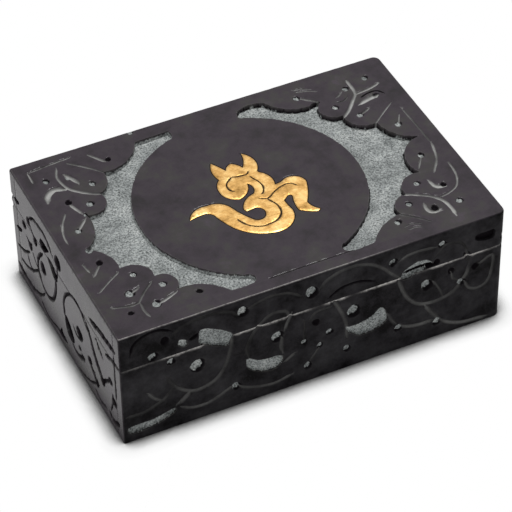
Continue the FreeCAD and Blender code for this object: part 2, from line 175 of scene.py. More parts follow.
base_low, base_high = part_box("base_front_wall")
LENGTH = (base_high.x - base_low.x) / MM
WALL = (base_high.y - base_low.y) / MM
SEAM = base_high.z / MM
side_low, side_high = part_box("base_left_wall")
WIDTH = (side_high.y - side_low.y) / MM + 2 * WALL
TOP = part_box("lid_top_panel")[1].z / MM
ARRIS = 0.45
GROUND_CORNER = 3.0
JOINT_BEVEL = 0.12
BEVEL_REACH = 0.28
EDGE_STEP = 0.38


def ripple(points, size, seed):
    """Smooth noise from -1 to 1 at the points, with hills about as wide as size."""
    table = np.random.default_rng(seed).uniform(-1, 1, (128, 128))
    grid = np.asarray(points) / size
    cell = np.floor(grid).astype(int)
    part = grid - cell
    part = part * part * (3 - 2 * part)
    x0, y0 = cell[:, 0] % 128, cell[:, 1] % 128
    x1, y1 = (x0 + 1) % 128, (y0 + 1) % 128
    low = table[x0, y0] * (1 - part[:, 0]) + table[x1, y0] * part[:, 0]
    high = table[x0, y1] * (1 - part[:, 0]) + table[x1, y1] * part[:, 0]
    return low * (1 - part[:, 1]) + high * part[:, 1]


def resampled(line, step):
    """Points along a polyline, about one step apart, with both ends."""
    line = np.asarray(line, float)
    along = np.concatenate([[0], np.cumsum(np.linalg.norm(np.diff(line, axis=0), axis=1))])
    count = max(int(round(along[-1] / step)), 1)
    places = np.linspace(0, along[-1], count + 1)
    return np.stack([np.interp(places, along, line[:, i]) for i in (0, 1)], 1)


def smooth_line(points, step):
    """A smooth curve through the points, about one step apart."""
    points = np.asarray(points, float)
    if len(points) == 2:
        return resampled(points, step)
    ends = [2 * points[0] - points[1], *points, 2 * points[-1] - points[-2]]
    curve = [points[0]]
    for a, b, c, d in zip(ends, ends[1:], ends[2:], ends[3:]):
        for t in np.linspace(0, 1, 13)[1:]:
            curve.append(
                0.5 * (2 * b + (c - a) * t + (2 * a - 5 * b + 4 * c - d) * t**2
                       + (3 * b - a - 3 * c + d) * t**3)
            )
    return resampled(curve, step)


def arc_line(start, middle, end, step):
    """Points on the arc from start through middle to end, without the start."""
    (ax, ay), (bx, by), (cx, cy) = start, middle, end
    d = 2 * (ax * (by - cy) + bx * (cy - ay) + cx * (ay - by))
    if abs(d) < 1e-3:
        return [tuple(p) for p in resampled([start, end], step)[1:]]
    a2, b2, c2 = ax * ax + ay * ay, bx * bx + by * by, cx * cx + cy * cy
    x = (a2 * (by - cy) + b2 * (cy - ay) + c2 * (ay - by)) / d
    y = (a2 * (cx - bx) + b2 * (ax - cx) + c2 * (bx - ax)) / d
    radius = math.hypot(ax - x, ay - y)
    angles = [math.atan2(q - y, p - x) for p, q in (start, middle, end)]
    turn = (angles[2] - angles[0]) % (2 * math.pi)
    if (angles[1] - angles[0]) % (2 * math.pi) > turn:
        turn -= 2 * math.pi
    count = max(int(round(abs(turn) * radius / step)), 2)
    steps = [angles[0] + turn * i / count for i in range(1, count + 1)]
    return [(x + radius * math.cos(v), y + radius * math.sin(v)) for v in steps]


def outline_line(steps, step=0.35):
    """A closed outline. Each step is the end of a line, or the middle and end of an arc."""
    line = [steps[0]]
    for item in steps[1:]:
        if isinstance(item[0], tuple):
            line += arc_line(line[-1], item[0], item[1], step)
        else:
            line += [tuple(p) for p in resampled([line[-1], item], step)[1:]]
    if math.dist(line[0], line[-1]) > step:
        line += [tuple(p) for p in resampled([line[-1], line[0]], step)[1:]]
    return np.array(line[:-1])


def nearest_on_line(points, line, closed=False):
    """Distance from each point to the polyline, and how far along it the nearest place is."""
    starts = line if closed else line[:-1]
    ends = np.roll(line, -1, axis=0) if closed else line[1:]
    best = np.full(len(points), 1e9)
    place = np.zeros(len(points))
    run = 0.0
    for a, b in zip(starts, ends):
        ab = b - a
        span = float(np.hypot(*ab))
        if span < 1e-9:
            continue
        t = np.clip(((points - a) @ ab) / span**2, 0, 1)
        distance = np.linalg.norm(points - a - t[:, None] * ab, axis=1)
        closer = distance < best
        best[closer] = distance[closer]
        place[closer] = run + t[closer] * span
        run += span
    return best, place, run


def inside_outline(points, line):
    """True for the points inside the closed outline."""
    result = np.zeros(len(points), bool)
    for (ax, ay), (bx, by) in zip(line, np.roll(line, -1, axis=0)):
        if ay == by:
            continue
        crosses = (ay > points[:, 1]) != (by > points[:, 1])
        x = ax + (points[:, 1] - ay) * (bx - ax) / (by - ay)
        result ^= crosses & (points[:, 0] < x)
    return result


class Groove:
    """A stroke of the gouge along a smooth line, as wide as start_width to end_width."""

    def __init__(self, width, depth, *points, end_width=None, dust_and_highlight=0.0):
        self.line = smooth_line(points, 0.45)
        self.halves = (width / 2, (end_width or width) / 2)
        self.depth = depth
        self.dust_and_highlight = dust_and_highlight
        self.reach = max(self.halves) * 1.35 + 0.2

    def guide_points(self):
        tangent = np.gradient(self.line, axis=0)
        tangent /= np.linalg.norm(tangent, axis=1)[:, None]
        normal = np.stack([-tangent[:, 1], tangent[:, 0]], 1)
        half = np.linspace(*self.halves, len(self.line))[:, None]
        rows = [self.line + normal * half * side for side in (0, -0.97, 0.97, 0.5, -0.5)]
        return rows + [self.line + normal * (half + 0.25) * side for side in (-1, 1)]

    def cut(self, points):
        """Depth, bare stone, wear and dust at the points; the dust is heavier low, a painted
        highlight.
        """
        distance, place, length = nearest_on_line(points, self.line)
        share = place / length
        half = self.halves[0] + (self.halves[1] - self.halves[0]) * share
        tip = np.minimum(place, length - place) / (2.2 * half)
        half = half * np.sqrt(np.clip(tip * 0.9 + 0.1, 0, 1))
        shake = 1 + 0.16 * ripple(points, 1.7, 5)
        across = distance / np.maximum(half * shake, 1e-3)
        deep = self.depth * np.sqrt(half / max(self.halves))
        depth = deep * np.clip(1 - across**1.7, 0, 1)
        wear_and_highlight = 0.1 * np.exp(-((across - 1.02) * half / 0.16) ** 2)
        run = np.linspace(0, length, len(self.line))
        # The dust is heaped on the lower side of each stroke, the wall that faces the light: a painted
        # highlight besides pale dust.
        above = points[:, 1] - np.interp(place, run, self.line[:, 1])
        painted_lit_lower_side = np.clip(0.5 - 0.7 * above / np.maximum(half, 0.1), 0, 1)
        fading = np.clip(0.85 + 0.5 * ripple(points, 6.0, 6), 0, 1)
        dust_and_highlight = self.dust_and_highlight * fading * np.clip(1.6 - 1.7 * across, 0, 1) * (0.3 + 1.4 * painted_lit_lower_side)
        return depth, np.zeros(len(points)), wear_and_highlight, dust_and_highlight


class Pit:
    """A round pit turned with the point of the tool."""

    def __init__(self, x, y, radius, depth=None, bare=0.0):
        self.middle = np.array([x, y], float)
        self.radius = radius
        self.depth = depth or 0.65 * radius
        self.bare = bare
        self.line = self.middle[None]
        self.reach = radius + 0.5

    def guide_points(self):
        rings = [self.middle[None]]
        for share in (0.45, 0.78, 0.97, 1.0 + 0.25 / self.radius):
            count = max(int(2 * math.pi * self.radius * share / 0.42), 6)
            angles = np.arange(count) * 2 * math.pi / count
            ring = np.stack([np.cos(angles), np.sin(angles)], 1) * self.radius * share
            rings.append(self.middle + ring)
        return rings

    def cut(self, points):
        offset = points - self.middle
        angle = np.arctan2(offset[:, 1], offset[:, 0])
        seed = self.middle.sum()
        lumpy = 1 + 0.05 * np.sin(2 * angle + seed) + 0.035 * np.sin(3 * angle + 2 * seed)
        across = np.linalg.norm(offset, axis=1) / (self.radius * lumpy)
        lumps = 1 + 0.22 * ripple(points, 0.8, 14) * np.clip(1.2 - across, 0, 1)
        depth = self.depth * np.clip(1 - across**3.2, 0, 1) * lumps
        wear_and_highlight = 0.15 * np.exp(-((across - 1.02) * self.radius / 0.16) ** 2)
        patch = np.linalg.norm(offset + self.radius * np.array([0.16, -0.04]), axis=1)
        ragged = 0.8 - patch / self.radius + 0.14 * ripple(points, 0.7, 15)
        bare = self.bare * np.clip(ragged / 0.15, 0, 1)
        return depth, bare, wear_and_highlight, np.zeros(len(points))


def by_hand(line, amount=0.13):
    """The same outline with the small swerves of a tool led by hand."""
    sway = np.stack([ripple(line, 1.6, 41), ripple(line, 1.6, 42)], 1)
    chatter = np.stack([ripple(line, 0.6, 43), ripple(line, 0.6, 44)], 1)
    return line + amount * (sway + 0.5 * chatter)


class Gouge:
    """A broad cut with a steep side and a rough floor, bare where the dye has gone."""

    def __init__(self, outline, depth, bare=1.0, wall=0.3, rough=0.14, deepen=None, black=0.2):
        if isinstance(outline, tuple):
            outline = by_hand(smooth_line((*outline, outline[0]), 0.35)[:-1])
        self.line = outline
        self.depth = depth
        self.bare = bare
        self.wall = wall
        self.rough = rough
        self.deepen = deepen
        self.black = black
        self.reach = 0.5

    def guide_points(self):
        following = np.roll(self.line, -1, axis=0)
        tangent = following - np.roll(self.line, 1, axis=0)
        tangent /= np.maximum(np.linalg.norm(tangent, axis=1), 1e-9)[:, None]
        area = (self.line[:, 0] * following[:, 1] - following[:, 0] * self.line[:, 1]).sum()
        inward = np.stack([-tangent[:, 1], tangent[:, 0]], 1) * (1 if area > 0 else -1)
        rows = [self.line, self.line + inward * self.wall, self.line - inward * 0.25]
        low, high = self.line.min(0), self.line.max(0)
        grid = np.stack(
            np.meshgrid(np.arange(low[0], high[0], 0.55), np.arange(low[1], high[1], 0.55)), -1
        ).reshape(-1, 2)
        rng = np.random.default_rng(int(abs(self.line[0, 0] * 10)) + 3)
        grid = grid + rng.uniform(-0.2, 0.2, grid.shape)
        return rows + [grid[inside_outline(grid, self.line)]]

    def cut(self, points):
        distance, _, _ = nearest_on_line(points, self.line, closed=True)
        inner = np.where(inside_outline(points, self.line), distance, 0)
        wall = np.clip(inner / self.wall, 0, 1)
        wall = wall * wall * (3 - 2 * wall)
        floor = self.depth if self.deepen is None else self.depth * self.deepen(points)
        lumps = 0.6 * ripple(points, 1.3, 11) + 0.5 * ripple(points, 0.6, 12)
        depth = wall * np.maximum(floor + self.rough * lumps, 0.05)
        ragged = inner - self.wall * self.black + 0.18 * ripple(points, 0.9, 13)
        bare = self.bare * np.clip(ragged / 0.3, 0, 1)
        wear_and_highlight = 0.3 * self.bare * np.exp(-((distance / 0.16) ** 2))
        return depth, bare, wear_and_highlight, np.zeros(len(points))


def moved(marks, shift):
    """The same marks further along the drawing."""
    result = []
    for mark in marks:
        twin = object.__new__(type(mark))
        twin.__dict__.update(mark.__dict__)
        twin.line = mark.line + np.array([shift, 0.0])
        if isinstance(mark, Pit):
            twin.middle = mark.middle + np.array([shift, 0.0])
        result.append(twin)
    return result


def carved_sheet(border, marks, coarse=1.8, folds=(), bevel=JOINT_BEVEL):
    """Triangles over the closed border, fine where the marks are.

    Returns the points, with the border's own first, the triangles, the depth at each point,
    and its layers of bare stone, wear, dust and cut depth. The dust lies heavier on the lower
    side of each stroke as a painted highlight, and the cut depth later paints shade in the
    recesses. Folds are lines of points to keep to.
    """
    border = np.asarray(border, float)
    low, high = border.min(0), border.max(0)
    near = [
        mark for mark in marks
        if (mark.line.min(0) - mark.reach < high).all() and (mark.line.max(0) + mark.reach > low).all()
    ]
    rows = [row for mark in near if isinstance(mark, Gouge) for row in mark.guide_points()[:3]]
    rows += [row for mark in near if not isinstance(mark, Gouge) for row in mark.guide_points()]
    rows += [mark.guide_points()[3] for mark in near if isinstance(mark, Gouge)]
    grid = np.stack(
        np.meshgrid(np.arange(low[0], high[0], coarse), np.arange(low[1], high[1], coarse)), -1
    ).reshape(-1, 2)
    rng = np.random.default_rng(7)
    rows.append(grid + rng.uniform(-0.4, 0.4, grid.shape) * coarse / 2)
    free = np.concatenate(rows)
    distance, _, _ = nearest_on_line(free, border, closed=True)
    inner_row = []
    following = np.roll(border, -1, axis=0)
    tangent = following - np.roll(border, 1, axis=0)
    tangent /= np.maximum(np.linalg.norm(tangent, axis=1), 1e-9)[:, None]
    area = (border[:, 0] * following[:, 1] - following[:, 0] * border[:, 1]).sum()
    inward = np.stack([-tangent[:, 1], tangent[:, 0]], 1) * (1 if area > 0 else -1)
    inner_row = border + inward * BEVEL_REACH
    keep = inside_outline(free, border) & (distance > BEVEL_REACH + 0.12)
    free = free[keep]
    row_distance, _, _ = nearest_on_line(inner_row, border, closed=True)
    inner_row = inner_row[(row_distance > BEVEL_REACH * 0.8) & inside_outline(inner_row, border)]
    fold_rows = [np.asarray(fold, float)[1:-1] for fold in folds]
    if fold_rows:
        fold_x = np.array([fold[0][0] for fold in folds])
        free = free[np.abs(free[:, :1] - fold_x[None]).min(1) > 0.15]
        inner_row = inner_row[np.abs(inner_row[:, :1] - fold_x[None]).min(1) > 0.1]
    free = np.concatenate([*fold_rows, inner_row, free]) if fold_rows else np.concatenate(
        [inner_row, free]
    )

    # Points that share a small cell with an earlier one are dropped.
    cell = np.floor((free - low) / 0.19).astype(np.int64)
    key = cell[:, 0] * 1000003 + cell[:, 1]
    _, first = np.unique(key, return_index=True)
    free = free[np.sort(first)]
    points = np.concatenate([border, free])
    edges = [(i, (i + 1) % len(border)) for i in range(len(border))]
    out = delaunay_2d_cdt([Vector(map(float, p)) for p in points], edges, [], 1, 1e-6)
    if len(out[0]) != len(points):
        order = [source[0] if source else -1 for source in out[3]]
        points = np.array([tuple(v) for v in out[0]])
        if order[: len(border)] != list(range(len(border))):
            raise ValueError("the border's points were reordered")
    triangles = np.array(out[2])

    depth, bare, wear_and_highlight, dust_and_highlight = np.zeros((4, len(points)))
    for mark in near:
        low, high = mark.line.min(0) - mark.reach, mark.line.max(0) + mark.reach
        touched = ((points > low) & (points < high)).all(1)
        if touched.any():
            here, stone, rubbing_and_highlight, dust_and_highlight_here = mark.cut(points[touched])
            deeper = here > depth[touched]
            bare[touched] = np.where(deeper, stone, bare[touched])
            depth[touched] = np.maximum(here, depth[touched])
            wear_and_highlight[touched] = np.maximum(rubbing_and_highlight, wear_and_highlight[touched])
            dust_and_highlight[touched] = np.maximum(dust_and_highlight_here, dust_and_highlight[touched])
    wear_and_highlight = np.clip(wear_and_highlight - 2.2 * np.clip(depth - 0.12, 0, 1), 0, 1)
    # How deep each point is cut; the dye material paints this as shade in the recesses.
    cut = np.clip((depth - 0.06) / 0.2, 0, 1)
    depth += 0.02 + 0.02 * ripple(points, 9.0, 21)
    distance, _, _ = nearest_on_line(points, border, closed=True)
    depth += bevel * np.clip(1 - distance / BEVEL_REACH, 0, 1)
    return points, triangles, depth, {"bare": bare, "wear_and_highlight": wear_and_highlight, "dust_and_highlight": dust_and_highlight, "cut": cut}


def stone_mesh(name, vertices, faces, layers, hidden_from):
    """A mesh in millimetres with its point layers. Faces after hidden_from are bare stone."""
    mesh = bpy.data.meshes.new(name)
    mesh.from_pydata([tuple(v) for v in np.asarray(vertices) * MM], [], faces)
    for label, layer in layers.items():
        attribute = mesh.attributes.new(label, "FLOAT", "POINT")
        attribute.data.foreach_set("value", np.asarray(layer, np.float32))
    for polygon in mesh.polygons[hidden_from:]:
        polygon.material_index = 1
    mesh.validate()
    return mesh


def seated(mesh, seats):
    """The mesh with the seats sunk in it, boxes given by their corners in millimetres."""
    shape = bmesh.new()
    for low, high in seats:
        size = [b - a for a, b in zip(low, high)]
        middle = [(a + b) / 2 for a, b in zip(low, high)]
        where = Matrix.Translation(Vector(middle) * MM) @ Matrix.Diagonal((*Vector(size) * MM, 1))
        bmesh.ops.create_cube(shape, size=1.0, matrix=where)
    for face in shape.faces:
        face.material_index = 1
    cutter = bpy.data.objects.new("seats", bpy.data.meshes.new("seats"))
    shape.to_mesh(cutter.data)
    shape.free()
    blank = bpy.data.objects.new("blank", mesh)
    for item in (blank, cutter):
        bpy.context.scene.collection.objects.link(item)
    sinking = blank.modifiers.new("seats", "BOOLEAN")
    sinking.operation = "DIFFERENCE"
    sinking.solver = "EXACT"
    sinking.object = cutter
    worked = blank.evaluated_get(bpy.context.evaluated_depsgraph_get())
    result = bpy.data.meshes.new_from_object(worked)
    for item in (blank, cutter):
        bpy.data.objects.remove(item)
    return result


def finished(name, mesh, materials, body, *nodes, slot="stone", seats=()):
    """Welds the mesh, turns its faces outward, shades it and puts it on its body."""
    made = bmesh.new()
    made.from_mesh(mesh)
    bmesh.ops.remove_doubles(made, verts=made.verts, dist=1e-6)
    bmesh.ops.recalc_face_normals(made, faces=made.faces)
    made.to_mesh(mesh)
    made.free()
    if seats:
        mesh = seated(mesh, seats)
    mesh.shade_smooth()
    mesh.set_sharp_from_angle(angle=math.radians(38))
    for material in materials:
        mesh.materials.append(material)
    piece = bpy.data.objects.new(name, mesh)
    bpy.context.scene.collection.objects.link(piece)
    piece.modifiers.new("flat_where_broad", "WEIGHTED_NORMAL").keep_sharp = True
    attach(piece, body)
    if nodes:
        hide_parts(*nodes)
    return piece


def plan_path(covers, round_side):
    """The outside of a slab in plan: (u, x, y) along its drawing.

    A covering slab wraps round both corners of the box, with the sharp one on the left
    unless round_side says so. The others run straight between the covering ones.
    """
    if not covers:
        return [(WALL, -WIDTH / 2 + WALL, 0.0), (WIDTH - WALL, WIDTH / 2 - WALL, 0.0)]
    half = LENGTH / 2
    slope = ARRIS * math.sqrt(2)
    sharp = [
        (ARRIS - slope - (WALL - ARRIS), -half, WALL),
        (ARRIS - slope, -half, ARRIS),
        (ARRIS, -half + ARRIS, 0.0),
    ]
    radius = GROUND_CORNER
    ground = [
        (LENGTH - radius + radius * angle, half - radius + radius * math.sin(angle),
         radius - radius * math.cos(angle))
        for angle in np.linspace(0, math.pi / 2, 9)
    ]
    ground.append((LENGTH - radius + radius * math.pi / 2 + WALL - radius, half, WALL))
    path = sharp + ground
    if round_side == "left":
        path = [(LENGTH - u, -x, y) for u, x, y in reversed(path)]
    return path


def on_path(path, u):
    """Place and outward direction in plan for each u along the path."""
    table = np.array(path)
    index = np.clip(np.searchsorted(table[:, 0], u, side="right") - 1, 0, len(table) - 2)
    start, end = table[index], table[index + 1]
    share = (u - start[:, 0]) / (end[:, 0] - start[:, 0])
    place = start[:, 1:] + (end - start)[:, 1:] * share[:, None]
    along = (end - start)[:, 1:]
    along /= np.linalg.norm(along, axis=1)[:, None]
    normal = np.stack([along[:, 1], -along[:, 0]], 1)
    for i in range(1, len(table) - 1):
        here = np.abs(u - table[i, 0]) < 1e-6
        if here.any():
            before = table[i, 1:] - table[i - 1, 1:]
            after = table[i + 1, 1:] - table[i, 1:]
            total = before / np.linalg.norm(before) + after / np.linalg.norm(after)
            total /= np.linalg.norm(total)
            normal[here] = (total[1], -total[0])
    return place, normal


def inset_path(path, amount):
    """The same path in plan, moved inwards by the amount, corner for corner."""
    table = np.array(path)
    directions = np.diff(table[:, 1:], axis=0)
    directions /= np.linalg.norm(directions, axis=1)[:, None]
    normals = np.stack([directions[:, 1], -directions[:, 0]], 1)
    moved_points = []
    for i in range(len(table)):
        if i == 0:
            shift = normals[0]
        elif i == len(table) - 1:
            shift = normals[-1]
        else:
            shift = (normals[i - 1] + normals[i]) / (1 + normals[i - 1] @ normals[i])
        moved_points.append(table[i, 1:] - shift * amount)
    return [(u, x, y) for u, (x, y) in zip(table[:, 0], moved_points)]


def edge_wear_and_highlight(u, side):
    """Paleness along the lid's upper edge: rubbed wear, with a painted highlight on the front."""
    if side != "front":
        return np.full(len(u), 0.25)
    return np.clip(0.85 - np.clip(u - 90, 0, None) / 40, 0.0, 1) * np.clip(1 + u / 1.5, 0.3, 1)


def side_slab(name, body, side, low, high, marks, top_marks=None):
    """One carved side slab. With top_marks it is a rim of the lid and has a top face too."""
    covers = side in ("front", "back")
    path = plan_path(covers, "left" if side == "back" else "right")
    turn, shift_x, shift_y = {
        "front": (0, 0, -WIDTH / 2), "back": (180, 0, WIDTH / 2),
        "left": (-90, -LENGTH / 2, 0), "right": (90, LENGTH / 2, 0),
    }[side]
    face_high = high - ARRIS if top_marks is not None else high
    first_u, last_u = path[0][0], path[-1][0]
    columns = np.concatenate([
        np.linspace(a[0], b[0], max(int(round((b[0] - a[0]) / EDGE_STEP)), 1) + 1)[:-1]
        for a, b in zip(path, path[1:])
    ] + [[last_u]])
    heights = np.linspace(low, face_high, int(round((face_high - low) / EDGE_STEP)) + 1)
    border = (
        [(u, low) for u in columns] + [(last_u, z) for z in heights[1:]]
        + [(u, face_high) for u in columns[-2::-1]] + [(first_u, z) for z in heights[-2:0:-1]]
    )
    folds = [[(point[0], z) for z in heights] for point in path[1:-1]]
    points, triangles, depth, layers = carved_sheet(border, marks, folds=folds)
    wear_and_highlight = layers["wear_and_highlight"]
    on_long_face = covers & (points[:, 0] > 0) & (points[:, 0] < LENGTH)
    # The long faces take a darker dye and a thinner coat than the ends and the top: painted shade on
    # the front and back.
    layers["wax_and_painted_shade"] = np.where(on_long_face, 0.08, 0.92)
    place, normal = on_path(path, points[:, 0])
    plan = place - normal * depth[:, None]
    wobble = np.zeros(len(points))
    if low == 0.0:
        at_foot = points[:, 1] < 1e-6
        uneven = ripple(points[at_foot] + 50, 7.0, 35) + 0.6 * ripple(points[at_foot] + 50, 2.0, 36)
        wobble[at_foot] = np.clip(0.5 * uneven, 0, 0.6)
    if top_marks is not None:
        at_top = np.abs(points[:, 1] - face_high) < 1e-6
        wobble[at_top] = -0.04 + 0.04 * ripple(points[at_top], 2.3, 31)
        wear_and_highlight[at_top] = 0.0
    elif side == "front":
        # The front wall's upper edge along the seam is painted pale in patches.
        at_seam = points[:, 1] > high - 0.3
        wear_and_highlight[at_seam] = np.clip(0.8 + 0.7 * ripple(points[at_seam] * (1, 0), 7.0, 32), 0, 1)
    vertices = np.column_stack([plan, points[:, 1] + wobble])
    faces = [tuple(t) for t in triangles]

    def turned(xy):
        angle = math.radians(turn)
        c, s = round(math.cos(angle)), round(math.sin(angle))
        return np.column_stack([xy[:, 0] * c - xy[:, 1] * s + shift_x,
                                xy[:, 0] * s + xy[:, 1] * c + shift_y])

    vertices[:, :2] = turned(vertices[:, :2])
    count = len(columns)
    bottom_row = list(range(count))
    end_column = list(range(count - 1, count - 1 + len(heights)))
    top_row = list(range(count - 1 + len(heights) - 1, 2 * count - 1 + len(heights) - 1))[::-1]
    start_column = [0] + list(range(len(border) - 1, len(border) - len(heights) + 1, -1))
    start_column.append(top_row[0])
    inner_ends = turned(np.array([(path[0][1], WALL), (path[-1][1], WALL)]))

    if top_marks is None:
        extra = [] if covers else [(*inner_ends[0], low), (*inner_ends[1], low)]
        extra += [] if covers else [(*inner_ends[0], high), (*inner_ends[1], high)]
        base = len(vertices)
        vertices = np.vstack([vertices, np.array(extra).reshape(-1, 3)])
        if covers:
            hidden = [bottom_row[::-1], top_row, end_column[::-1] + start_column]
        else:
            hidden = [
                bottom_row[::-1] + [base, base + 1],
                top_row + [base + 3, base + 2],
                start_column[::-1] + [base, base + 2][::1],
                end_column + [base + 3, base + 1],
                [base, base + 1, base + 3, base + 2],
            ]
            hidden[2] = start_column + [base + 2, base]
        hidden_from = len(faces)
        faces += [tuple(loop) for loop in hidden]
    else:
        inset = inset_path(path, ARRIS)
        inset_table = np.array(inset)
        edge_x = np.interp(columns, inset_table[:, 0], inset_table[:, 1])
        edge_y = np.interp(columns, inset_table[:, 0], inset_table[:, 2])
        shake = 0.04 + 0.04 * ripple(np.column_stack([columns, columns * 0]), 2.1, 33)
        edge_y = np.where(edge_y < WALL - 0.5, edge_y + shake * (edge_y < WALL - 1.5), edge_y)
        outer = turned(np.column_stack([edge_x, edge_y]))
        inner_count = int(round(abs(edge_x[-1] - edge_x[0]) / EDGE_STEP))
        inner_x = np.linspace(edge_x[-1], edge_x[0], inner_count + 1)
        side_count = 14
        if covers:
            rest = turned(np.column_stack([inner_x[1:-1], np.full(inner_count - 1, WALL)]))
        else:
            across = np.linspace(edge_y[-1], WALL, side_count)[1:-1]
            back = np.linspace(WALL, edge_y[0], side_count)[1:-1]
            rest = turned(np.vstack([
                np.column_stack([np.full(len(across), edge_x[-1]), across]),
                np.column_stack([inner_x, np.full(inner_count + 1, WALL)]),
                np.column_stack([np.full(len(back), edge_x[0]), back]),
            ]))
        outline = np.vstack([outer, rest]) + np.array([LENGTH / 2, WIDTH / 2])
        points, triangles, depth, top_layers = carved_sheet(outline, top_marks, bevel=0.015)
        top_layers["wax_and_painted_shade"] = np.ones(len(points))
        # The outer edge of the top is painted pale: rubbed wear, and along the front a painted
        # highlight that fades towards the right end.
        top_layers["wear_and_highlight"][: len(columns)] = edge_wear_and_highlight(columns, side)
        depth[: len(columns)] = np.minimum(depth[: len(columns)], 0.1)
        base = len(vertices)
        top_points = np.column_stack([points - np.array([LENGTH / 2, WIDTH / 2]), high - depth])
        vertices = np.vstack([vertices, top_points])
        layers = {key: np.append(layer, top_layers[key]) for key, layer in layers.items()}
        faces += [tuple(int(i) + base for i in t) for t in triangles]
        for i in range(count - 1):
            faces.append((top_row[i], top_row[i + 1], base + i + 1, base + i))
        ring = list(range(base, base + len(outline)))
        hidden_from = len(faces)
        if covers:
            inner_row = ring[count - 1:] + [ring[0]]
            hidden = [bottom_row[::-1], end_column[::-1][:0] + list(end_column) + inner_row
                      + start_column[::-1]]
        else:
            extra = np.array([(*inner_ends[0], low), (*inner_ends[1], low)])
            corner_low = len(vertices)
            vertices = np.vstack([vertices, extra])
            far = ring[count - 1: count - 1 + side_count]
            row = ring[count - 1 + side_count - 1: count - 1 + side_count + inner_count]
            close = ring[count - 1 + side_count + inner_count - 1:] + [ring[0]]
            hidden = [
                bottom_row[::-1] + [corner_low, corner_low + 1],
                list(end_column) + far + [corner_low + 1],
                row + [corner_low, corner_low + 1],
                close + start_column[::-1] + [corner_low],
            ]
        faces += [tuple(loop) for loop in hidden]
    missing = np.zeros(len(vertices) - len(layers["bare"]))
    layers = {key: np.append(layer, missing) for key, layer in layers.items()}
    mesh = stone_mesh(name, vertices, faces, layers, hidden_from)
    seats = []
    if side == "back":
        part = "base" if body == "base" else "lid"
        for hand in ("left", "right"):
            leaf_low, leaf_high = (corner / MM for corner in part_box(f"hinge_{part}_leaf_{hand}"))
            near_seam = (high - 0.75, high + 1) if body == "base" else (low - 1, low + 0.75)
            seats.append(((leaf_low.x - 0.1, WIDTH / 2 - 4.0, near_seam[0]),
                          (leaf_high.x + 0.1, WIDTH / 2 + 1.0, near_seam[1])))
    return finished(f"{name}_carved", mesh, [dyed_stone, sawn_stone], body, name, seats=seats)


